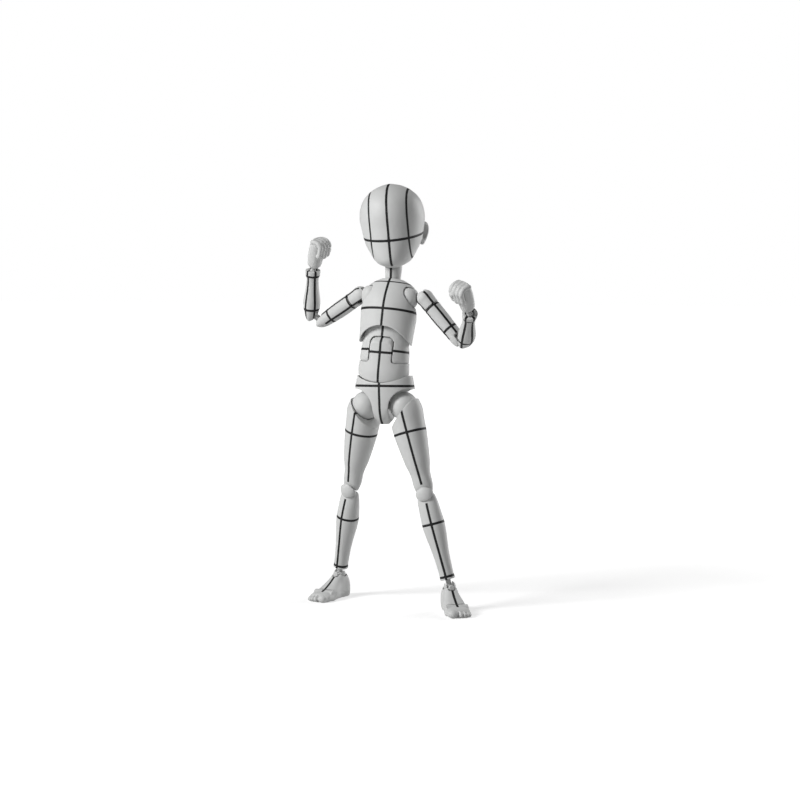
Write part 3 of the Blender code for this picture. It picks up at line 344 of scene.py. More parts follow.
def prism(outline, start, end):
    """Straight solid: an outline of y and z carried along x."""
    flat = np.array(outline, float)
    count = len(flat)
    points = np.zeros((2, count, 3))
    points[..., 1:] = flat
    points[:, :, 0] = np.array((start, end))[:, None]
    here = np.arange(count)
    beside = np.roll(here, -1)
    quads = np.stack((here, beside, beside + count, here + count), axis=1)
    return mesh_of(points.reshape(-1, 3), quads.tolist() + [here[::-1].tolist(), (here + count).tolist()])


def box(low, high):
    """Block between two corners."""
    (x, y, z), (a, b, c) = low, high
    return prism(((y, z), (b, z), (b, c), (y, c)), x, a)


def arc(radius, start, end, steps=40):
    """Points of a circle about the origin between two angles in degrees: (r cos, r sin)."""
    turn = np.radians(np.linspace(start, end, steps + 1))
    return np.stack((radius * np.cos(turn), radius * np.sin(turn)), axis=1).tolist()


def ball_end(radius, stem, up, centre=0.0, steps=24):
    """Profile of a ball from its far pole to where a stem leaves it."""
    turn = np.linspace(0.0, math.pi - math.asin(stem / radius), steps)
    return np.stack((radius * np.sin(turn), centre - up * radius * np.cos(turn)), axis=1).tolist()


def socket(radius, throat, flare, depth, up, centre=0.0):
    """Room for a ball, then a cone from its throat to an open mouth."""
    end = centre + up * depth
    return turned(ball_end(radius, throat, up, centre) + [(flare, end), (0.0, end)])


def evaluated(obj):
    """The object's mesh with its modifiers worked out."""
    bpy.context.view_layer.update()
    graph = bpy.context.evaluated_depsgraph_get()
    return bpy.data.meshes.new_from_object(obj.evaluated_get(graph))


def working(mesh):
    """A working object that holds a mesh while modifiers run."""
    obj = bpy.data.objects.new("working", mesh)
    bpy.context.scene.collection.objects.link(obj)
    return obj


def carve(mesh, *steps):
    """Cut, add or keep: each step is an operation and a second solid in the same frame."""
    work = working(mesh)
    tools = [working(tool) for _, tool in steps]
    for (operation, _), tool in zip(steps, tools):
        modifier = work.modifiers.new(operation, "BOOLEAN")
        modifier.operation = operation
        modifier.solver = "MANIFOLD"
        modifier.object = tool
    result = evaluated(work)
    if not len(result.polygons):
        raise RuntimeError("a cut left nothing of a piece")
    for obj in [work] + tools:
        bpy.data.objects.remove(obj)
    return result


def cut(tool):
    """Step that takes a solid away."""
    return "DIFFERENCE", tool


def add(tool):
    """Step that joins a solid on."""
    return "UNION", tool


def keep(tool):
    """Step that keeps only what lies inside a solid."""
    return "INTERSECT", tool


def moulded(mesh, pitch, rounds=3):
    """Fine even skin over a solid with its edges eased, and how far each point lies in a crease."""
    work = working(mesh)
    remesh = work.modifiers.new("even skin", "REMESH")
    remesh.mode = "VOXEL"
    remesh.voxel_size = pitch
    smooth = work.modifiers.new("eased edges", "SMOOTH")
    smooth.iterations = rounds
    shell = evaluated(work)
    smooth.iterations = rounds + 14
    slack = evaluated(work)
    bpy.data.objects.remove(work)
    place, facing = vectors(shell.vertices, "co"), vectors(shell.vertex_normals, "vector")
    crease = np.sum((vectors(slack.vertices, "co") - place) * facing, axis=1) / pitch
    bpy.data.meshes.remove(slack)
    return shell, place, facing, crease


def at(joint):
    """A joint's place in metres."""
    return np.array(JOINTS[joint]["pos_m"], float)


def axis(joint):
    """A joint's axis."""
    return np.array(JOINTS[joint]["axis"], float)


def pose(origin, x=None, y=None, z=None):
    """Frame of a piece at rest: its origin in metres and three axes, made square from two of them."""
    if z is None:
        z = np.cross(x, y)
    elif x is None:
        x = np.cross(y, z)
    z = z / np.linalg.norm(z)
    x = x - z * np.dot(x, z)
    x = x / np.linalg.norm(x)
    return np.array(origin, float), np.stack((x, np.cross(z, x), z), axis=1)


def seat(side, origin, **axes):
    """Frame of a piece from the names of joints: the one at its origin and those along its axes."""
    return pose(at(side + origin), **{letter: axis(side + joint) for letter, joint in axes.items()})


def swung(direction, about, angle):
    """A direction square to an axis, turned about it by an angle in degrees."""
    turn = math.radians(angle)
    return math.cos(turn) * direction + math.sin(turn) * np.cross(about, direction)


def plane_gap(place, facing, normal, offset=0.0):
    """Distance along the surface to a plane's cut: height off the plane over how steeply it is left."""
    lean = 1.0 - (facing @ np.array(normal, float)) ** 2
    return np.abs(place @ np.array(normal, float) - offset) / np.sqrt(np.clip(lean, 0.06, 1.0))


def ring_gap(place, facing, *heights):
    """Distance to the nearest of several level rings."""
    return nearest(*[plane_gap(place, facing, (0, 0, 1), height) for height in heights])


def middle_gap(place, facing, offset=0.0):
    """Distance to an upright line from front to back, at the middle or beside it."""
    return plane_gap(place, facing, (1, 0, 0), offset)


def long_lines(place, facing, angles, turn=0.0):
    """Lines along a limb, on both sides of it, at the given angles round it in degrees."""
    normals = [(-math.sin(math.radians(a + turn)), math.cos(math.radians(a + turn)), 0) for a in angles]
    return nearest(*[plane_gap(place, facing, normal) for normal in normals])


def only(gap, *outside):
    """A line kept where every limit is negative: the largest of the gap and the distances outside."""
    return np.maximum.reduce([gap, *outside])


def nearest(*gaps):
    """The nearest of several lines."""
    return np.minimum.reduce(gaps)


def off_axis(place):
    """Distance from a limb's long axis."""
    return np.hypot(place[:, 0], place[:, 1])


def dress(node, mesh, place_at, ink=None, fineness=1.0, body=None, finish="body_grey"):
    """Finish a solid as a moulded shell, print its lines, set it in place and let it stand for its node."""
    sizes = bpy.context.scene.mannequin_sizes
    body = body or node
    shell, place, facing, crease = moulded(mesh, sizes.skin_pitch * 1000.0 * fineness)
    gap = np.full(len(place), 9.0) if ink is None else np.minimum(ink(place, facing), 9.0)
    for name, values in (("ink_gap", gap), ("crease", crease * fineness)):
        layer = shell.attributes.new(name, "FLOAT", "POINT")
        layer.data.foreach_set("value", values.astype(np.float32))
    origin, axes = place_at
    world = place @ axes.T * 0.001 + origin
    shell.vertices.foreach_set("co", world.astype(np.float32).ravel())
    shell.polygons.foreach_set("use_smooth", np.ones(len(shell.polygons), bool))
    shell.update()
    shell.name = node + "_shell"
    shell.materials.clear()
    shell.materials.append(plastic(finish, ink is not None))
    obj = bpy.data.objects.new(node + "_shell", shell)
    bpy.context.scene.collection.objects.link(obj)
    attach(obj, body)
    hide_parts(node)


def feed(tree, slot, value):
    """Link a socket to an input, or set a plain value on it."""
    if isinstance(value, bpy.types.NodeSocket):
        tree.links.new(value, slot)
    else:
        slot.default_value = value


def shader_node(tree, kind, settings=(), **inputs):
    """New node with its settings, then its inputs fed by name."""
    made = tree.nodes.new("ShaderNode" + kind)
    for name, value in settings:
        setattr(made, name, value)
    for name, value in inputs.items():
        feed(tree, made.inputs[name.replace("_", " ")], value)
    return made


def maths(tree, operation, *values):
    """Maths node whose inputs are sockets or numbers; gives its output."""
    made = shader_node(tree, "Math", (("operation", operation),))
    for slot, value in zip(made.inputs, values):
        feed(tree, slot, value)
    return made.outputs[0]


def new_group(name, inputs, outputs):
    """Node group with named inputs, each with a type and a value, and named outputs; gives both ends too."""
    group = bpy.data.node_groups.new(name, "ShaderNodeTree")
    for label, kind, value in inputs:
        item = group.interface.new_socket(label, in_out="INPUT", socket_type="NodeSocket" + kind)
        item.default_value = value
    for label, kind in outputs:
        group.interface.new_socket(label, in_out="OUTPUT", socket_type="NodeSocket" + kind)
    return group, group.nodes.new("NodeGroupInput").outputs, group.nodes.new("NodeGroupOutput").inputs


def mottle_group():
    """Moulded plastic: slow colour drift, fine grain, a painted highlight and rubbed smoothness on edges,
    painted shade in creases.
    """
    name = "moulded plastic"
    if name in bpy.data.node_groups:
        return bpy.data.node_groups[name]
    group, entry, leave = new_group(
        name, (("Base", "Color", (0.8, 0.8, 0.8, 1.0)), ("Crease", "Float", 0.0), ("Crease Shade", "Float", 0.4)),
        (("Colour", "Color"), ("Roughness", "Float"), ("Height", "Float")))
    where = shader_node(group, "TexCoord").outputs["Object"]
    slow, mid, fine = [shader_node(group, "TexNoise", Vector=where, Scale=scale, Detail=detail).outputs["Fac"]
                       for scale, detail in ((190.0, 3.0), (1500.0, 4.0), (5200.0, 2.0))]
    # Painted shade: the colour is darkened where the surface lies in a crease.
    crease_shade = maths(group, "MULTIPLY", maths(group, "MAXIMUM", entry["Crease"], 0.0), entry["Crease Shade"])
    # Edges that bulge out: the colour is lightened as a painted highlight, and the roughness is lowered as
    # rubbed wear.
    edge_wear_and_sheen = maths(group, "MULTIPLY", maths(group, "MINIMUM", entry["Crease"], 0.0), -0.10)
    drift = maths(group, "MULTIPLY_ADD", slow, 0.07, maths(group, "MULTIPLY_ADD", mid, 0.04, 0.945))
    # Tone: colour drift, less the painted shade in creases, plus the painted highlight on edges.
    tone = maths(group, "ADD", maths(group, "SUBTRACT", drift, maths(group, "MINIMUM", crease_shade, 0.45)),
                 maths(group, "MINIMUM", edge_wear_and_sheen, 0.07))
    tint = shader_node(group, "VectorMath", (("operation", "SCALE"),), Vector=entry["Base"], Scale=tone)
    rough = maths(group, "MULTIPLY_ADD", mid, 0.16, maths(group, "MULTIPLY_ADD", slow, 0.10, 0.36))
    feed(group, leave["Colour"], tint.outputs[0])
    feed(group, leave["Roughness"], maths(group, "SUBTRACT", rough, maths(group, "MINIMUM", edge_wear_and_sheen, 0.10)))
    feed(group, leave["Height"], maths(group, "MULTIPLY_ADD", mid, 0.6, fine))
    return group


def ink_group():
    """Printed line: full inside the half width, gone just outside it, with a slightly uneven edge."""
    name = "printed line"
    if name in bpy.data.node_groups:
        return bpy.data.node_groups[name]
    group, entry, leave = new_group(
        name, (("Gap", "Float", 9.0), ("Half Width", "Float", 0.2)), (("Mask", "Float"),))
    where = shader_node(group, "TexCoord").outputs["Object"]
    noise = shader_node(group, "TexNoise", Vector=where, Scale=900.0)
    wander = maths(group, "MULTIPLY_ADD", noise.outputs["Fac"], 0.05, -0.025)
    over = maths(group, "SUBTRACT", maths(group, "ADD", entry["Gap"], wander), entry["Half Width"])
    step = shader_node(group, "MapRange", (("interpolation_type", "SMOOTHSTEP"),), Value=over, From_Min=0.035,
                       From_Max=-0.035)
    feed(group, leave["Mask"], step.outputs[0])
    return group


def plastic(finish, lined):
    """Satin moulded plastic in one of the two greys, printed with lines where the piece has them."""
    name = finish + ("_lined" if lined else "_plain")
    if name in bpy.data.materials:
        return bpy.data.materials[name]
    colours = bpy.context.scene.mannequin_colours
    material = bpy.data.materials.new(name)
    material.use_nodes = True
    tree = material.node_tree
    shader = tree.nodes["Principled BSDF"].inputs
    base = colours.body if finish == "body_grey" else colours.joint
    # The crease attribute drives painted shade in creases and a painted highlight on edges in the moulded
    # plastic group.
    crease = shader_node(tree, "Attribute", (("attribute_name", "crease"),)).outputs["Fac"]
    mottle = (("node_tree", mottle_group()),)
    body = shader_node(tree, "Group", mottle, Base=(*base, 1.0), Crease=crease).outputs
    bump = shader_node(tree, "Bump", Strength=0.22, Distance=0.00003, Height=body["Height"])
    colour, roughness = body["Colour"], body["Roughness"]
    if lined:
        gap = shader_node(tree, "Attribute", (("attribute_name", "ink_gap"),)).outputs["Fac"]
        half = bpy.context.scene.mannequin_sizes.line_width * 500.0
        line = shader_node(tree, "Group", (("node_tree", ink_group()),), Gap=gap, Half_Width=half)
        mask = line.outputs["Mask"]
        blend = shader_node(tree, "Mix", (("data_type", "RGBA"),), Factor=mask, A=colour,
                            B=(*colours.ink, 1.0))
        colour = blend.outputs["Result"]
        roughness = maths(tree, "MULTIPLY_ADD", mask, 0.16, roughness)
    shader["Specular IOR Level"].default_value = 0.28
    feed(tree, shader["Normal"], bump.outputs["Normal"])
    feed(tree, shader["Base Color"], colour)
    feed(tree, shader["Roughness"], roughness)
    return material


class MannequinSizes(bpy.types.PropertyGroup):
    """Sizes of the finish that a user would change."""
    line_width: bpy.props.FloatProperty(
        name="Guide line width", description="Width of the printed guide lines", unit="LENGTH",
        default=0.00057)
    skin_pitch: bpy.props.FloatProperty(
        name="Skin pitch", description="Spacing of the points on a shell", unit="LENGTH", default=0.000118)
    ear_reach: bpy.props.FloatProperty(
        name="Ear reach", description="How far an ear stands out from the head", unit="LENGTH",
        default=0.0013)
    tongue_round: bpy.props.FloatProperty(
        name="Tongue corner", description="Radius of the belly tongue's upper corners", unit="LENGTH",
        default=0.0011)


class MannequinColours(bpy.types.PropertyGroup):
    """Colours of the plastic, the ink and the stage."""
    body: bpy.props.FloatVectorProperty(
        name="Body grey", description="Colour of the moulded body", subtype="COLOR",
        default=(0.60, 0.605, 0.60))
    joint: bpy.props.FloatVectorProperty(
        name="Joint grey", description="Colour of the inner pieces", subtype="COLOR",
        default=(0.52, 0.525, 0.52))
    ink: bpy.props.FloatVectorProperty(
        name="Ink", description="Colour of the guide lines", subtype="COLOR", default=(0.007, 0.007, 0.0075))
    floor: bpy.props.FloatVectorProperty(
        name="Floor", description="Colour of the studio floor", subtype="COLOR", default=(0.62, 0.62, 0.62))


def leaned(points, angle=HEAD_LEAN):
    """Points of the head turned about its front-to-back line at mid height."""
    centre = np.array((0, 0, CHIN + HEAD_HEIGHT / 2))
    return spun(points - centre, angle, 0, 2) + centre


def head_shape():
    """Blank head: level ovals from a narrow chin to a domed crown, each with its own depth and place."""
    shape = ((0.00, 0.12, 0.55, -0.25), (0.03, 0.34, 0.76, 0.05), (0.08, 0.53, 0.87, 0.32),
             (0.19, 0.71, 0.93, 0.57), (0.31, 0.86, 0.96, 0.78), (0.45, 0.94, 0.99, 0.93),
             (0.62, 1.00, 1.02, 1.00), (0.78, 0.91, 0.93, 0.91), (0.90, 0.67, 0.68, 0.67),
             (0.97, 0.37, 0.38, 0.37), (1.00, 0.08, 0.10, 0.08))
    up, wide, ahead, behind = flow(shape, 96).T[:, :, None]
    c, s = oval(96, 2.0)
    x = wide * HEAD_HALF_WIDTH * c
    y = (behind * HEAD_BACK * (1 + s) - ahead * HEAD_FRONT * (1 - s)) / 2
    return skin(np.stack((x, y, CHIN + up * HEAD_HEIGHT + 0 * x), axis=2))


def ear_shape(sign, reach):
    """One ear: a leaf wider above, hollowed in front, turned to face out and forward, with a small lobe."""
    def leaf(p):
        return np.stack((p[:, 0], p[:, 1] * (1.0 + 0.13 * p[:, 2]) + 0.18 * p[:, 2], p[:, 2]), axis=1)
    shell = reshape(ball((0.75, 1.65, 2.7)), leaf)
    bowl = reshape(ball((0.8, 1.08, 1.85), (0.72, -0.1, 0.25)), leaf)
    lobe = ball((0.6, 0.7, 0.75), (0, -0.55, -2.05))
    root = np.array((HEAD_HALF_WIDTH + reach - EAR_SINK, EAR_SETBACK, CHIN + 0.40 * HEAD_HEIGHT))
    ear = reshape(carve(shell, add(lobe), cut(bowl)),
                  lambda p: (spun(p, -EAR_TURN, 0, 1) + root) * np.array((sign, 1, 1)))
    if sign < 0:
        ear.flip_normals()
    return ear


def head_ink(place, facing):
    """Three upright rings over the head and one ring at the eyes that rises towards the ears."""
    place, facing = leaned(place, -HEAD_LEAN), spun(facing, -HEAD_LEAN, 0, 2)
    c, s = math.cos(math.radians(EYE_SLOPE)), math.sin(math.radians(EYE_SLOPE))
    height = (CHIN + EYE_LINE * HEAD_HEIGHT) * c + 0.96 * HEAD_FRONT * s
    ear = np.minimum(2.5 - np.abs(place[:, 1] - EAR_SETBACK), np.abs(place[:, 0]) - 5.0)
    eyes = only(plane_gap(place, facing, (0, -s, c), height), 1.6 * ear)
    rings = [only(middle_gap(place, facing, x), 3.0 * (low - facing[:, 2]))
             for x, low in ((0.0, -0.86), (-FACE_LINE, -0.62), (FACE_LINE, -0.62))]
    return nearest(eyes, *rings)


class MANNEQUIN_OT_head(bpy.types.Operator):
    """Head with sculpted ears, and the neck under it."""
    bl_idname = "mannequin.head"
    bl_label = "Head and neck"

    def execute(self, context):
        reach = context.scene.mannequin_sizes.ear_reach * 1000.0
        room = HEAD_BALL + GAP
        mouth = socket(room, 0.94 * room, 1.3 * room, 0.5 * HEAD_HEIGHT, -1)
        under = post(NECK_RADIUS + NECK_ROOM, -0.5 * HEAD_HEIGHT, NECK_RISE + NECK_ROOM - HEAD_BALL_RISE)
        skull = carve(head_shape(), *[add(ear_shape(sign, reach)) for sign in SIDES.values()])
        head = carve(reshape(skull, leaned), cut(mouth), cut(under))
        up = axis("head_turn")
        across = swung(np.cross(axis("head_tilt"), up), up, HEAD_AIM)
        dress("head", head, pose(at("head_turn"), x=across, z=up), head_ink, 1.15)
        top = NECK_LENGTH + NECK_RISE
        profile = ball_end(NECK_BALL, 0.9 * NECK_RADIUS, 1)
        profile += [(NECK_RADIUS, 0.7 * top), (0.97 * NECK_RADIUS, top), (0.0, top)]
        room = PEG_BALL + GAP
        neck = carve(turned(profile),
                     cut(socket(room, PEG_STEM + GAP, 1.1 * room, 1.1 * NECK_RISE, 1, NECK_LENGTH)))

        def ink(place, facing):
            return only(middle_gap(place, facing), place[:, 1])
        dress("neck", neck, seat("", "neck_nod", x="neck_nod", y="head_tilt"), ink, 0.7)
        return {"FINISHED"}


def drum_shape(grow=0.0):
    """Barrel on an upright axis, flatter above: the radius falls off as the root of one less the square
    of 0.8 of the share of the height."""
    up = np.linspace(-1.0, 1.0, 25)
    radius = (DRUM_RADIUS + grow) * np.sqrt(1 - (0.8 * up) ** 2)
    height = (DRUM_HEIGHT / 2 + grow) * up * np.where(up > 0, 0.72, 1.0)
    return turned([(0, height[0])] + np.stack((radius, height), axis=1).tolist() + [(0, height[-1])])


def halves(shell, size=40.0):
    """The front and the back half of a shell, with the bond gap between them."""
    front = box((-size, -size, -size), (size, PARTING - BOND / 2, size))
    back = box((-size, PARTING + BOND / 2, -size), (size, size, size))
    return carve(shell.copy(), keep(front)), carve(shell, keep(back))


def chest_shape():
    """Rib-cage shell: ovals from the skirt to the collar, domed inside, arched below and open at the arms."""
    w, f, b, top, skirt, wall = CHEST_WIDTH, CHEST_FRONT, CHEST_BACK, CHEST_TOP, CHEST_SKIRT, CHEST_WALL
    rim = (0.92 * w, 0.92 * f, 0.94 * b)
    lip = [size - 0.5 * wall for size in rim]
    outside = limb(((-skirt, *rim), (-0.2 * skirt, 0.96 * w, 0.96 * f, 0.95 * b), (0.30 * top, w, f, b),
                    (0.56 * top, 0.98 * w, 0.90 * f, 0.96 * b), (0.76 * top, 0.88 * w, 0.74 * f, 0.86 * b),
                    (0.90 * top, 0.68 * w, 0.60 * f, 0.70 * b), (top, 0.40 * w, 0.46 * f, 0.52 * b)), 72, 96)
    inside = limb(((-2 * skirt, *lip), (-skirt, *lip),
                   (0.0, 0.97 * w - wall, 0.97 * f - wall, 0.97 * b - wall),
                   (0.16 * top, 0.80 * w, 0.72 * f), (0.29 * top, 0.54 * w, 0.52 * f),
                   (0.34 * top, 0.30 * w, 0.30 * f)), 48)
    radius = ((0.91 * w) ** 2 + ARCH_RISE ** 2) / (2 * ARCH_RISE)
    height = ARCH_RISE - skirt - radius
    arch = rod(radius, (0, -3 * f, height), (0, 3 * b, height), sides=160)
    room = NECK_BALL + GAP
    collar = socket(room, 0.9 * room, 1.6 * room, 1.8 * room, 1, NECK_SEAT)
    steps = [cut(inside), cut(arch), cut(post(SPINE_POST + GAP, 0, SPINE_LENGTH + GAP)), cut(collar)]
    low = math.radians(ARM_LOW)
    room = (CAP_RADIUS + GAP) / math.cos(low)
    for sign in SIDES.values():
        centre = np.array((sign * DRUM_SPACING / 2, -DRUM_FORWARD, SHOULDER_RISE))
        steps.append(cut(reshape(drum_shape(GAP), lambda p, c=centre: p + c)))
        for swing in np.radians((-ARM_SWEEP, 0.0, ARM_SWEEP)):
            out = np.array((math.cos(swing), sign * math.sin(swing), 0)) * sign
            cap = centre + SHOULDER_REACH * out + DRUM_FORWARD * np.array((-out[1] * sign, out[0] * sign, 0))
            steps.append(cut(ball(CAP_RADIUS + GAP, cap)))
            steps.append(cut(rod(0.1 * room, cap - room * out, cap, room / math.tan(low))))
    return carve(outside, *steps)


def chest_ink(place, facing):
    """Upright centre line, a level line round the chest and a thin collar line, on the outside only."""
    x, y = place[:, 0], place[:, 1]
    inner = 4.0 * (0.55 - np.hypot(x / CHEST_WIDTH, y / CHEST_FRONT))
    centre = only(middle_gap(place, facing), 4.0 * (-0.2 - facing[:, 1] * np.sign(y)))
    collar = only(ring_gap(place, facing, COLLAR_SEAM) + COLLAR_THINNER, inner - 0.6, y + 0.5)
    return nearest(centre, only(ring_gap(place, facing, CHEST_LINE), inner), collar)


class MANNEQUIN_OT_chest(bpy.types.Operator):
    """Chest in two bonded half shells."""
    bl_idname = "mannequin.chest"
    bl_label = "Chest"

    def execute(self, context):
        place_at = seat("", "chest_turn", x="neck_nod", z="chest_turn")
        for node, half in zip(("chest_front", "chest_back"), halves(chest_shape())):
            dress(node, half, place_at, chest_ink, body="chest")
        return {"FINISHED"}


def belly_body(knots):
    """Oval trunk at belly height: each knot is a height and the shares of the width and depth."""
    return limb([(z, wide * BELLY_WIDTH, deep * BELLY_DEPTH) for z, wide, deep in knots], 64, 96)


def bend_barrel(start, end, rim, corner, side, grow=0.0):
    """Barrel about the bend axis that meets the belly's oval at a level rim: the radius is the root of the
    squares of the oval's depth and the rim's height, which drops in a quarter circle at the tongue's edge."""
    across = np.linspace(start, end, 80)
    depth = BELLY_DEPTH * np.sqrt(np.clip(1 - (across / BELLY_WIDTH) ** 2, 0, 1))
    run = np.clip(side * (np.abs(across) - TONGUE), 0, corner)
    height = rim - corner + np.sqrt(corner ** 2 - (corner - run) ** 2)
    profile = np.stack((np.hypot(depth, height) + grow, across), axis=1).tolist()
    return reshape(turned([(0, start)] + profile + [(0, end)], 96), lambda p: p[:, (2, 0, 1)])


def lower_belly_shape(corner):
    """Round-bottomed belly with a barrel-topped tongue between two side seats."""
    wide, cap, throat = 3 * BELLY_WIDTH, WAIST_CAP, WAIST_POST + GAP
    body = belly_body(((-cap, 0.90, 0.95), (-0.6 * cap, 1.04, 1.06), (-0.3 * cap, 1.03, 1.03),
                       (0.0, 1.0, 1.0), (1.3 * BELLY_DRUM, 0.99, 0.99)))
    tongue = bend_barrel(-TONGUE - GAP, TONGUE + GAP, NOTCH_RISE - GAP, corner, -1)
    steps = [keep(ball(cap, sides=96)), cut(carve(box((-wide, -wide, 0), (wide, wide, wide)), cut(tongue)))]
    for low, high in ((TONGUE, wide), (-wide, -TONGUE)):
        steps += [cut(bend_barrel(low, high, TAB_DROP, corner, 1, GAP)),
                  cut(box((low, -wide, 0), (high, wide, wide)))]
    return carve(body, *steps, add(pin(TAB_HUB, TONGUE + TAB_HUB_REACH)),
                 cut(socket(WAIST_BALL + GAP, throat, 1.9 * throat, 1.2 * cap, -1)))


def upper_belly_shape(corner):
    """Belly dome with two side tabs and a notch with rounded upper corners for the tongue."""
    wide, dome, half, bore = 3 * BELLY_WIDTH, WAIST_TO_CHEST, TONGUE + GAP, SPINE_POST + GAP
    body = belly_body(((-BELLY_DRUM, 1.02, 1.0), (0.0, 1.0, 1.0), (0.25 * dome, 0.96, 0.95),
                       (0.5 * dome, 0.92, 0.91), (0.85 * dome, 0.88, 0.87), (1.05 * dome, 0.79, 0.78),
                       (1.20 * dome, 0.60, 0.60), (1.27 * dome, 0.36, 0.38)))
    tabs = [cut(bend_barrel(low, high, TAB_DROP, corner, 1))
            for low, high in ((TONGUE, wide), (-wide, -TONGUE))]
    under = carve(box((-wide, -wide, -wide), (wide, wide, 0)), *tabs)
    return carve(body, cut(under), cut(pin(TAB_HUB + GAP, half + TAB_HUB_REACH)),
                 cut(bend_barrel(-half, half, NOTCH_RISE, corner, -1, GAP)),
                 cut(box((-half, -wide, -wide), (half, wide, 0))), cut(ball(SPINE_BALL + GAP, (0, 0, dome))),
                 cut(box((-bore, -2.1 * bore, dome), (bore, 2.1 * bore, 2 * dome))))


def belly_ink(height, reach):
    """Centre line and a level line that ends at a reach from the middle, on the outside of a belly piece."""
    def ink(place, facing):
        outside = 2.0 * (2.6 - np.hypot(place[:, 0] * 0.7, place[:, 1]))
        ring = only(ring_gap(place, facing, height), np.abs(place[:, 0]) - reach)
        return only(nearest(ring, middle_gap(place, facing)), outside)
    return ink


class MANNEQUIN_OT_belly(bpy.types.Operator):
    """Two interlocking belly pieces."""
    bl_idname = "mannequin.belly"
    bl_label = "Belly"

    def execute(self, context):
        corner = context.scene.mannequin_sizes.tongue_round * 1000.0
        low_at = seat("", "waist_tilt", x="belly_bend", y="waist_tilt")
        low_ink = belly_ink(BELLY_LINES["lower"], TONGUE)
        dress("lower_belly", lower_belly_shape(corner), low_at, low_ink)
        bend = at("belly_bend")
        up_at = pose(bend, x=axis("belly_bend"), z=at("chest_bend") - bend)
        up_ink = belly_ink(BELLY_LINES["upper"], 2 * BELLY_WIDTH)
        dress("upper_belly", upper_belly_shape(corner), up_at, up_ink)
        return {"FINISHED"}


def pelvis_shape():
    """Pelvis shell: ovals from the crotch to the waist, a round bowl above and two leg openings."""
    w, d, top, low = PELVIS_WIDTH, PELVIS_DEPTH, PELVIS_TOP, PELVIS_DROP
    body = limb(((-low, 0.14 * w, 0.36 * d), (-0.75 * low, 0.28 * w, 0.62 * d, 0.60 * d),
                 (-0.25 * low, 0.66 * w, 0.84 * d, 0.88 * d), (0.22 * top, 0.98 * w, 0.93 * d, 1.02 * d),
                 (0.45 * top, 1.01 * w, 0.97 * d, 1.03 * d), (0.62 * top, w, 0.99 * d, 1.02 * d),
                 (top, 0.93 * w, 0.96 * d, 0.97 * d)), 72, 96)
    steps = [cut(ball(WAIST_CAP + GAP, (0, 0, WAIST_RISE), sides=96)),
             cut(post(WAIST_POST + GAP, WAIST_SEAT - GAP, WAIST_RISE))]
    opening = HIP_BALL + THIGH_WALL + LEG_ROOM
    for sign in SIDES.values():
        hip = (sign * HIP_SPACING / 2, 0, 0)
        steps.append(cut(ball((HIP_SPACING / 2 - PELVIS_CORE, opening, opening), hip, sides=96)))
        steps.append(cut(rod(HIP_PEG + GAP, (sign * 0.5 * PELVIS_CORE, 0, 0), hip)))
    return carve(body, *steps)


def pelvis_ink(place, facing):
    """Level line round the waistband and an upright centre line, on the outside only."""
    y = place[:, 1]
    outside = 3.0 * (0.62 - np.hypot(place[:, 0] / PELVIS_WIDTH, y / PELVIS_DEPTH))
    centre = only(middle_gap(place, facing), 3.0 * (0.1 - facing[:, 1] * np.sign(y)), 1.0 - np.abs(y))
    return nearest(only(ring_gap(place, facing, PELVIS_LINE), outside), centre)


class MANNEQUIN_OT_pelvis(bpy.types.Operator):
    """Pelvis in two bonded halves."""
    bl_idname = "mannequin.pelvis"
    bl_label = "Pelvis"

    def execute(self, context):
        middle = (at("left_hip_swing") + at("right_hip_swing")) / 2
        place_at = pose(middle, x=axis("left_hip_swing"), z=axis("waist_turn"))
        for node, half in zip(("pelvis_front", "pelvis_back"), halves(pelvis_shape())):
            dress(node, half, place_at, pelvis_ink, body="pelvis")
        return {"FINISHED"}


class MANNEQUIN_OT_shoulders(bpy.types.Operator):
    """Swinging drums in the chest and the caps over the arms."""
    bl_idname = "mannequin.shoulders"
    bl_label = "Shoulders"

    def execute(self, context):
        bore, wide = PEG + GAP, 3 * CAP_RADIUS
        for side, sign in SIDES.items():
            tip = (sign * SHOULDER_REACH, DRUM_FORWARD, 0)
            hole = rod(bore, (-sign * 0.55 * DRUM_RADIUS, DRUM_FORWARD, 0), tip)
            drum = carve(drum_shape(), cut(hole), cut(ball(CAP_RADIUS + GAP, tip)))
            drum_at = seat(side, "arm_forward", x="arm_swing", z="arm_forward")
            dress(side + "shoulder_drum", drum, drum_at, None, 0.8)
            neck = limb(((-ARM_SEAM, 0.97 * ARM_RADIUS), (0, 0.98 * CAP_RADIUS)), 12)
            cap = carve(ball(CAP_RADIUS), add(neck), cut(ball(SHOULDER_BALL + GAP)),
                        cut(box((0, -bore, -1.2 * bore), (-sign * wide, bore, wide))),
                        cut(box((0, -bore, 0), (sign * 1.05 * bore, bore, wide))),
                        cut(post(0.5 * ARM_RADIUS + GAP, 0, -wide)))
            cap_at = seat(side, "arm_raise", y="arm_raise", z="arm_turn")
            across = cap_at[1].T @ axis(side + "elbow_upper")
            turn = math.degrees(math.atan2(across[1], across[0]))

            def ink(place, facing, angles=ARM_LINES[side], turn=turn):
                return only(long_lines(place, facing, angles, turn), place[:, 2] - 0.9,
                            1.9 - np.linalg.norm(place, axis=1))
            dress(side + "shoulder_cap", cap, cap_at, ink, 0.75)
        return {"FINISHED"}


def knuckle_slot(z, radius, plate, away, back):
    """Slot for a link's plate: room round the hinge eye, open on the side the link swings to."""
    wide, room = 4 * radius, radius - EYE_INSET + GAP
    outline = [(wide, -wide), (wide, room)] + arc(room, 90, 180, 16) + [(-room, -wide)]
    half = plate / 2 + GAP
    return prism([(back * across, z - away * up) for across, up in outline], -half, half)


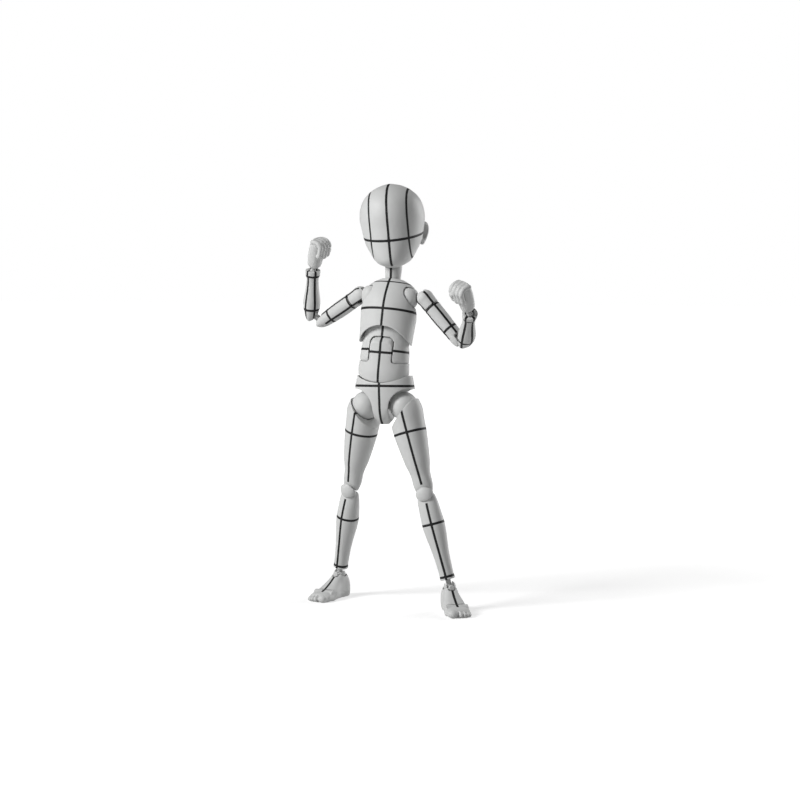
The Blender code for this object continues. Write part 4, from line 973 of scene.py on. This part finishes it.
def link_shape(pitch, radius, plate, cap=None):
    """Double-hinge link: two eyes joined by a plate, and at the knee a domed cap between the knuckles."""
    half, eye = plate / 2, radius - EYE_INSET
    steps = [add(pin(eye, half, 0, -pitch)), add(box((-half, -0.8 * eye, -pitch), (half, 0.8 * eye, 0)))]
    if cap:
        room = [cut(pin(radius + 0.12, 2 * cap[0], 0, z)) for z in (0, -pitch)]
        steps.append(add(carve(ball(cap, (0, -0.62 * radius, -pitch / 2)), *room)))
    return carve(pin(eye, half), *steps)


class MANNEQUIN_OT_upper_arms(bpy.types.Operator):
    """Upper arms with slotted elbow ends."""
    bl_idname = "mannequin.upper_arms"
    bl_label = "Upper arms"

    def execute(self, context):
        u, e, end, top = ARM_RADIUS, ELBOW, ELBOW_AXIS, -(ARM_SEAM + GAP)
        for side in SIDES:
            def ink(place, facing, angles=ARM_LINES[side]):
                lines = only(long_lines(place, facing, angles), end + 1.3 - place[:, 2])
                rings = ring_gap(place, facing, top - 0.1, end + 3.0)
                return only(nearest(rings, lines), 1.25 - off_axis(place))
            arm = limb(((top, 0.97 * u), (0.5 * end, 0.97 * u, 0.97 * u, u),
                        (end + 2 * e, 0.90 * u, 0.90 * u, 0.92 * u), (end, 0.88 * u, 0.98 * e, 1.0 * e),
                        (end - 0.8 * e, 0.76 * u, 0.58 * e, 0.60 * e), (end - e, 0.70 * u, 0.12 * e)))
            arm = carve(arm, add(post(0.5 * u, 1.2 * top, -(SHOULDER_BALL + 2 * GAP))),
                        cut(knuckle_slot(end, e, ELBOW_PLATE, -1, -1)))
            dress(side + "upper_arm", arm, seat(side, "arm_turn", x="elbow_upper", z="arm_turn"), ink, 0.8)
        return {"FINISHED"}


class MANNEQUIN_OT_links(bpy.types.Operator):
    """Double-hinge links at the elbows and knees, with kneecaps."""
    bl_idname = "mannequin.links"
    bl_label = "Elbow and knee links"

    def execute(self, context):
        kinds = (("elbow", ELBOW_PITCH, ELBOW, ELBOW_PLATE), ("knee", KNEE_PITCH, KNEE, KNEE_PLATE, KNEECAP))
        for kind, *sizes in kinds:
            for side in SIDES:
                name = side + kind
                up = at(name + "_upper") - at(name + "_lower")
                place_at = pose(at(name + "_upper"), x=axis(name + "_upper"), z=up)
                dress(name + "_link", link_shape(*sizes), place_at, None, 0.6)
        return {"FINISHED"}


class MANNEQUIN_OT_forearms(bpy.types.Operator):
    """Forearms that narrow to a cuff."""
    bl_idname = "mannequin.forearms"
    bl_label = "Forearms"

    def execute(self, context):
        f, m, c, e, wrist = FOREARM_RADIUS, FOREARM_WAIST, CUFF, ELBOW, WRIST_AXIS
        room = WRIST_BALL + GAP
        for side in SIDES:
            def ink(place, facing, angles=FOREARM_LINES[side]):
                rings = ring_gap(place, facing, -1.4, wrist + 0.95)
                return only(nearest(rings, long_lines(place, facing, angles)), 1.15 - off_axis(place))
            fore = limb(((e, 0.72 * f, 0.12 * e), (0.8 * e, 0.82 * f, 0.58 * e, 0.60 * e),
                         (0, 0.95 * f, 0.98 * e, 1.0 * e), (-1.7 * e, 0.97 * f, 0.96 * f, 0.98 * f),
                         (0.62 * wrist, 1.08 * m), (0.84 * wrist, m), (0.94 * wrist, 0.97 * c),
                         (wrist - 0.4, c)))
            fore = carve(fore, cut(knuckle_slot(0, e, ELBOW_PLATE, 1, -1)),
                         cut(socket(room, 0.8 * room, 1.7 * room, 1.3 * room, -1, wrist)))
            elbow = at(side + "elbow_lower")
            place_at = pose(elbow, x=axis(side + "elbow_lower"), z=elbow - at(side + "wrist_bend"))
            dress(side + "forearm", fore, place_at, ink, 0.75)
        return {"FINISHED"}


def rounded_ends(count, power):
    """Shares of a radius along a finger, full in the middle and closing at both ends."""
    return np.sqrt(np.clip(1 - np.abs(np.linspace(-1, 1, count)) ** power, 0.03, 1))


def finger_shape(sign, y, radius, tip_share):
    """One curled finger: a round section carried over the knuckle, round a bend and back along the palm."""
    thick, tip = PALM_HALF, HAND_START - tip_share * HAND_LENGTH
    low = HAND_START - HAND_LENGTH + 1.25 * FINGER
    out = -thick - 0.55 * FINGER
    path = flow(((0.75 * thick, low + 0.5 * radius), (0.1 * thick, low), (0.55 * out, low), (out, low + 0.75),
                 (out - 0.05, low + 1.5), (out, tip), (out + 0.6, tip + 0.5)), 36)
    joints = 1.0 + 0.06 * np.cos(7.5 * np.linspace(-1, 1, len(path)))
    centres = np.stack((sign * path[:, 0], np.full(len(path), y), path[:, 1]), axis=1)
    return tube(centres, radius * joints * rounded_ends(len(path), 9))


def hand_shape(sign):
    """Closed fist: a palm of squared ovals, four curled fingers and a thumb laid over them."""
    start, length, breadth, thick, r = HAND_START, HAND_LENGTH, HAND_HALF_BREADTH, PALM_HALF, FINGER
    shape = ((0.0, 0.50, 0.34), (0.05, 0.80, 0.52), (0.11, 1.02, 0.64), (0.35, 1.14, 0.84),
             (0.62, 1.12, 0.97), (0.85, 1.0, 0.97), (0.96, 0.66, 0.78))
    palm = limb([(start - share * length, wide * thick, deep * breadth) for share, wide, deep in shape],
                40, 48, 2.4)
    fingers = [add(finger_shape(sign, (2 * i - 3) * 0.92 * r, 0.97 * grow * r, tip))
               for i, (grow, tip) in enumerate(((1.0, 0.50), (1.06, 0.47), (1.02, 0.49), (0.92, 0.53)))]
    thumb = flow(((0.2, -0.75 * breadth, start - 0.22 * length),
                  (-0.55 * thick, -0.98 * breadth, start - 0.40 * length),
                  (-1.25 * thick, -0.86 * breadth, start - 0.62 * length),
                  (-1.72 * thick, -0.30 * breadth, start - 0.74 * length)), 24)
    thumb[:, 0] *= sign
    return carve(palm, *fingers, add(tube(thumb, THUMB * rounded_ends(len(thumb), 7), across=(0, 0, 1))),
                 cut(post(WRIST_STEM + GAP, 0, -WRIST_BORE)))


class MANNEQUIN_OT_hands(bpy.types.Operator):
    """Closed fists on the cuffs."""
    bl_idname = "mannequin.hands"
    bl_label = "Hands"

    def execute(self, context):
        for side, sign in SIDES.items():
            along = axis(side + "hand_turn")
            across = swung(axis(side + "wrist_bend"), along, HAND_TURN[side])
            place_at = pose(at(side + "hand_turn"), x=across, z=along)
            dress(side + "hand", hand_shape(sign), place_at, None, 0.62)
        return {"FINISHED"}


class MANNEQUIN_OT_hips(bpy.types.Operator):
    """Hip balls in the leg openings."""
    bl_idname = "mannequin.hips"
    bl_label = "Hip balls"

    def execute(self, context):
        r, slot = HIP_BALL, HIP_PEG + GAP
        for side, sign in SIDES.items():
            hip = carve(ball(r), cut(ball(HIP_EYE + GAP)),
                        cut(box((0, -slot, -0.5 * r), (-sign * 2 * r, slot, 1.6 * r))),
                        cut(post(slot, 0, -2 * r)))
            dress(side + "hip_ball", hip, seat(side, "hip_spread", y="hip_spread", z="thigh_turn"), None, 0.9)
        return {"FINISHED"}


def thigh_shape(sign):
    """Thigh: ovals from a slanted cup over the hip ball down to a slotted, rounded knee end."""
    t, k, r, end = THIGH, KNEE, HIP_BALL, KNEE_AXIS
    outer = r + GAP + THIGH_WALL
    body = limb(((0.25 * r, 0.90 * outer), (-0.4 * r, outer), (-1.2 * r, 1.02 * t, 1.05 * t, 1.06 * t),
                 (0.38 * end, 0.97 * t, t, 1.02 * t), (0.70 * end, 0.76 * t, 0.80 * t, 0.78 * t),
                 (end + 1.4 * k, 0.60 * t, 1.25 * k, 1.12 * k), (end, 0.58 * t, 0.98 * k),
                 (end - 0.75 * k, 0.50 * t, 0.64 * k), (end - k, 0.46 * t, 0.12 * k)), 96, 72)
    crop = 3 * r
    slope = reshape(box((-crop, -crop, 0), (crop, crop, 2 * crop)),
                    lambda p: spun(p, sign * THIGH_SLANT, 0, 2) - np.array((0, 0, 0.42 * r)))
    return carve(body, cut(ball(r + GAP)), cut(slope), add(post(HIP_PEG, -1.4 * r, -(HIP_EYE + 2 * GAP))),
                 cut(knuckle_slot(end, k, KNEE_PLATE, -1, 1)))


class MANNEQUIN_OT_thighs(bpy.types.Operator):
    """Thighs with slanted tops over the hip balls."""
    bl_idname = "mannequin.thighs"
    bl_label = "Thighs"

    def execute(self, context):
        def ink(place, facing):
            ring = only(ring_gap(place, facing, THIGH_RING), 3.2 - off_axis(place))
            line = only(middle_gap(place, facing), 1.9 - off_axis(place), KNEE_AXIS + 0.4 - place[:, 2],
                        HIP_BALL + 0.45 - np.linalg.norm(place, axis=1))
            return nearest(ring, line)
        for side, sign in SIDES.items():
            place_at = seat(side, "thigh_turn", x="knee_upper", z="thigh_turn")
            dress(side + "thigh", thigh_shape(sign), place_at, ink)
        return {"FINISHED"}


class MANNEQUIN_OT_shins(bpy.types.Operator):
    """Shins with a calf and a ring at the ankle."""
    bl_idname = "mannequin.shins"
    bl_label = "Shins"

    def execute(self, context):
        k, c, a, ankle = KNEE, CALF, ANKLE_RING, ANKLE_AXIS
        ring = ankle + ANKLE_RISE

        def ink(place, facing):
            line = only(middle_gap(place, facing), place[:, 2] + 0.3)
            return only(nearest(ring_gap(place, facing, SHIN_RING, ring + 0.7), line), 1.2 - off_axis(place))
        for side in SIDES:
            shin = limb(((k, 0.70 * c, 0.12 * k), (0.75 * k, 0.80 * c, 0.66 * k), (0, 0.90 * c, 0.98 * k),
                         (-1.5 * k, 0.97 * c, 1.22 * k, 1.05 * c), (0.30 * ankle, c, 0.95 * c, 1.2 * c),
                         (0.62 * ankle, 0.72 * c, 0.78 * c, 0.82 * c),
                         (ring - 0.6 * ring / 9, 0.94 * a, 0.98 * a), (ring, a)), 96)
            shin = carve(shin, cut(knuckle_slot(0, k, KNEE_PLATE, 1, 1)),
                         cut(post(ANKLE_PEG + GAP, ankle, ankle + 2.4 * ANKLE_RISE + GAP)))
            dress(side + "shin", shin, seat(side, "knee_lower", x="knee_lower", z="ankle_turn"), ink, 0.85)
        return {"FINISHED"}


def foot_loft(knots, low, rings=48, sides=64):
    """Upright sections along a foot: x = width cos, z = height times a squared sine, flat at the sole."""
    y, width, height = flow(knots, rings).T[:, :, None]
    c, s = oval(sides, 2.6)
    z = height * (0.42 + s * np.where(s > 0, 0.58, 0.55))
    x = width * c
    return skin(np.stack((x, y + 0 * x, low + np.maximum(z, 0.0)), axis=2))


def foot_shape():
    """Foot: sections from the heel over the ankle to the toe hinge, cut round the ankle ball and hinge."""
    w, h, tall, hinge, rise = FOOT_WIDTH, HEEL_WIDTH, -SOLE, TOE_HINGE, TOE_RISE
    body = foot_loft(((FOOT_HEEL, 0.55 * h, 0.55 * tall), (0.86 * FOOT_HEEL, 0.85 * h, 0.80 * tall),
                      (0.45 * FOOT_HEEL, h, 1.06 * tall), (-0.1 * hinge, h, 1.12 * tall),
                      (-0.35 * hinge, 1.05 * h, 0.92 * tall), (-0.68 * hinge, 0.90 * w, 0.66 * tall),
                      (-hinge, w, 2.06 * rise)), SOLE)
    room, stem = ANKLE_BALL + GAP, 0.45 * ANKLE_BALL
    return carve(body, cut(pin(rise + TOE_GAP, 2 * w, -hinge, SOLE + rise)),
                 cut(box((-2 * w, -2 * hinge, SOLE - rise), (2 * w, -hinge, SOLE + 4 * rise))),
                 cut(ball(room)), cut(post(0.95 * room, 0, 3 * room, 1.2 * room)),
                 cut(rod(stem + GAP, (0, -2.4 * stem, 0), (0, -1.6 * ANKLE_BALL, 0))))


def toes_shape(sign):
    """Ball of the foot on its hinge barrel, with five rounded toes that get shorter towards the outside."""
    w, rise, reach = FOOT_WIDTH, TOE_RISE, TOE_REACH
    body = foot_loft(((0.0, w, 1.98 * rise), (-0.14 * reach, 1.02 * w, 1.84 * rise),
                      (-0.35 * reach, 1.04 * w, 1.68 * rise), (-0.56 * reach, 1.0 * w, 1.50 * rise),
                      (-0.68 * reach, 0.92 * w, 1.20 * rise), (-0.76 * reach, 0.80 * w, 0.62 * rise)), -rise)
    steps = [add(pin(rise, 0.97 * w))]
    length = 0.27 * reach
    toes = ((-0.58, 0.43, 1.00, 0.98), (0.03, 0.22, 0.99, 0.80), (0.38, 0.195, 0.95, 0.74),
            (0.67, 0.175, 0.89, 0.68), (0.90, 0.155, 0.81, 0.62))
    for centre, half, tip, tall in toes:
        middle = (sign * centre * w, -(tip * reach - length), -rise + 0.92 * tall)
        steps.append(add(ball((half * w, length, tall), middle, 40)))
    return carve(body, *steps, keep(box((-3 * w, -3 * reach, -rise), (3 * w, 3 * reach, 3 * reach))))


def ankle_block_shape():
    """Ankle ball with a stem to the foot, slotted for the peg over the whole swing of the foot."""
    room, slot = ANKLE_EYE + GAP, ANKLE_PEG + GAP
    c, s = math.cos(math.radians(ANKLE_SWING)), math.sin(math.radians(ANKLE_SWING))
    swept = arc(room, -ANKLE_SWING, ANKLE_SWING - 180)
    swept += [(-5 * s - c * room, 5 * c - s * room), (5 * s + c * room, 5 * c - s * room)]
    stem = rod(0.45 * ANKLE_BALL, (0, 0, 0), (0, GAP - 1.6 * ANKLE_BALL, 0))
    return carve(ball(ANKLE_BALL), add(stem), cut(prism(swept, -slot, slot)))


class MANNEQUIN_OT_feet(bpy.types.Operator):
    """Ankle blocks, feet and hinged toes."""
    bl_idname = "mannequin.feet"
    bl_label = "Feet and ankles"

    def execute(self, context):
        def foot_ink(place, facing):
            return only(middle_gap(place, facing), place[:, 1] + 2.1, 0.15 - facing[:, 2],
                        SOLE + 2.2 - place[:, 2])

        def toe_ink(place, facing):
            return only(middle_gap(place, facing), -1.0 - place[:, 1], 0.15 - facing[:, 2], 0.7 - place[:, 2])
        for side, sign in SIDES.items():
            for piece, shape, origin, x, ink, fineness in (
                    ("ankle_block", ankle_block_shape(), "ankle_pitch", "ankle_pitch", None, 0.6),
                    ("foot", foot_shape(), "ankle_roll", "toe_bend", foot_ink, 0.75),
                    ("toes", toes_shape(sign), "toe_bend", "toe_bend", toe_ink, 0.62)):
                dress(side + piece, shape, seat(side, origin, x=x, y="ankle_roll"), ink, fineness)
        return {"FINISHED"}


class MANNEQUIN_OT_inner(bpy.types.Operator):
    """Finish of the pegs, posts and balls inside the joints."""
    bl_idname = "mannequin.inner"
    bl_label = "Inner joint pieces"

    def execute(self, context):
        finish = plastic("joint_grey", False)
        inner = ["head_peg", "spine_link", "waist_post"]
        paired = ("shoulder_peg", "wrist_ball", "hip_axle", "ankle_peg")
        inner += [side + kind for side in SIDES for kind in paired]
        for node in inner:
            mesh = frame["nodes"][node].data
            mesh.materials.clear()
            mesh.materials.append(finish)
        return {"FINISHED"}


def placed(name, data, place, facing):
    """Put a lamp or a camera at a place, looking along a direction."""
    obj = bpy.data.objects.new(name, data)
    obj.location = place
    obj.rotation_euler = Vector(facing).to_track_quat("-Z", "Y").to_euler()
    bpy.context.scene.collection.objects.link(obj)
    return obj


def white_for_camera(tree, surface):
    """Add plain white light that grows away from the figure, where a camera, gloss or glass ray looks."""
    rays = shader_node(tree, "LightPath").outputs
    seen = maths(tree, "MAXIMUM", rays["Is Camera Ray"],
                 maths(tree, "MAXIMUM", rays["Is Glossy Ray"], rays["Is Transmission Ray"]))
    where = shader_node(tree, "TexCoord").outputs["Object"]
    length = shader_node(tree, "VectorMath", (("operation", "LENGTH"),), Vector=where)
    rise = shader_node(tree, "MapRange", Value=length.outputs["Value"], From_Min=0.06, From_Max=0.40,
                       To_Min=0.55, To_Max=1.0)
    glow = shader_node(tree, "Emission", Strength=rise.outputs["Result"])
    both = shader_node(tree, "AddShader")
    mix = shader_node(tree, "MixShader")
    for slot, value in zip([*both.inputs, *mix.inputs],
                           (surface, glow.outputs[0], seen, surface, both.outputs[0])):
        feed(tree, slot, value)
    return mix.outputs[0]


class MANNEQUIN_OT_stage(bpy.types.Operator):
    """Pale floor, soft studio light and the camera."""
    bl_idname = "mannequin.stage"
    bl_label = "Stage, light and camera"

    def execute(self, context):
        scene = context.scene
        scene.view_settings.view_transform = "Standard"
        mesh = bpy.data.meshes.new("studio_floor")
        corners = [(x, y, -0.00002) for x, y in ((-3, -3), (3, -3), (3, 3), (-3, 3))]
        mesh.from_pydata(corners, [], [(0, 1, 2, 3)])
        floor = bpy.data.objects.new("studio_floor", mesh)
        scene.collection.objects.link(floor)
        material = bpy.data.materials.new("studio_floor")
        material.use_nodes = True
        tree = material.node_tree
        shader = tree.nodes["Principled BSDF"]
        shader.inputs["Base Color"].default_value = (*scene.mannequin_colours.floor, 1.0)
        shader.inputs["Roughness"].default_value = 0.9
        shader.inputs["Specular IOR Level"].default_value = 0.0
        feed(tree, tree.nodes["Material Output"].inputs["Surface"], white_for_camera(tree, shader.outputs[0]))
        mesh.materials.append(material)
        scene.world = bpy.data.worlds.new("studio")
        scene.world.use_nodes = True
        tree = scene.world.node_tree
        sky = tree.nodes["Background"].inputs
        rays = shader_node(tree, "LightPath").outputs
        feed(tree, sky["Strength"], maths(tree, "MULTIPLY_ADD", rays["Is Camera Ray"], 0.89, 0.11))
        sky["Color"].default_value = (1.0, 1.0, 1.0, 1.0)
        turn, rise = math.radians(AZIMUTH), math.radians(ELEVATION)
        across = np.array((math.cos(turn), math.sin(turn), 0.0))
        towards = np.array((math.sin(turn) * math.cos(rise), -math.cos(turn) * math.cos(rise),
                            math.sin(rise)))
        for name, power, size, (beside, near, above) in LIGHTS:
            lamp = bpy.data.lights.new(name, "AREA")
            lamp.energy = power
            lamp.size = size
            offset = beside * across + near * towards + above * np.array((0.0, 0.0, 1.0))
            placed(name, lamp, AIM + offset, -offset)
        camera = bpy.data.cameras.new("camera")
        camera.lens = 85.0
        camera.sensor_width = 36.0
        camera.clip_start = 0.01
        camera.shift_x, camera.shift_y = LENS_SHIFT
        scene.camera = placed("camera", camera, AIM + DISTANCE * towards, -towards)
        return {"FINISHED"}


PIECES = ("head", "chest", "belly", "pelvis", "shoulders", "upper_arms", "links", "forearms", "hands", "hips",
          "thighs", "shins", "feet", "inner", "stage")


class MANNEQUIN_PT_panel(bpy.types.Panel):
    """Sizes, colours and one button for each group of pieces."""
    bl_idname = "MANNEQUIN_PT_panel"
    bl_label = "Drawing mannequin"
    bl_space_type = "VIEW_3D"
    bl_region_type = "UI"
    bl_category = "Mannequin"

    def draw(self, context):
        for group in (context.scene.mannequin_sizes, context.scene.mannequin_colours):
            for name in group.__annotations__:
                self.layout.prop(group, name)
        for piece in PIECES:
            self.layout.operator("mannequin." + piece)


CLASSES = (MannequinSizes, MannequinColours, MANNEQUIN_OT_head, MANNEQUIN_OT_chest, MANNEQUIN_OT_belly,
           MANNEQUIN_OT_pelvis, MANNEQUIN_OT_shoulders, MANNEQUIN_OT_upper_arms, MANNEQUIN_OT_links,
           MANNEQUIN_OT_forearms, MANNEQUIN_OT_hands, MANNEQUIN_OT_hips, MANNEQUIN_OT_thighs,
           MANNEQUIN_OT_shins, MANNEQUIN_OT_feet, MANNEQUIN_OT_inner, MANNEQUIN_OT_stage, MANNEQUIN_PT_panel)


def register():
    """Register the classes and hang the two groups of settings on the scene."""
    for cls in CLASSES:
        bpy.utils.register_class(cls)
    bpy.types.Scene.mannequin_sizes = bpy.props.PointerProperty(type=MannequinSizes)
    bpy.types.Scene.mannequin_colours = bpy.props.PointerProperty(type=MannequinColours)


def unregister():
    """Take the settings and the classes away again."""
    del bpy.types.Scene.mannequin_sizes
    del bpy.types.Scene.mannequin_colours
    for cls in reversed(CLASSES):
        bpy.utils.unregister_class(cls)


def main():
    """Make every piece in order."""
    register()
    for piece in PIECES:
        getattr(bpy.ops.mannequin, piece)()


if __name__ == "__main__":
    main()
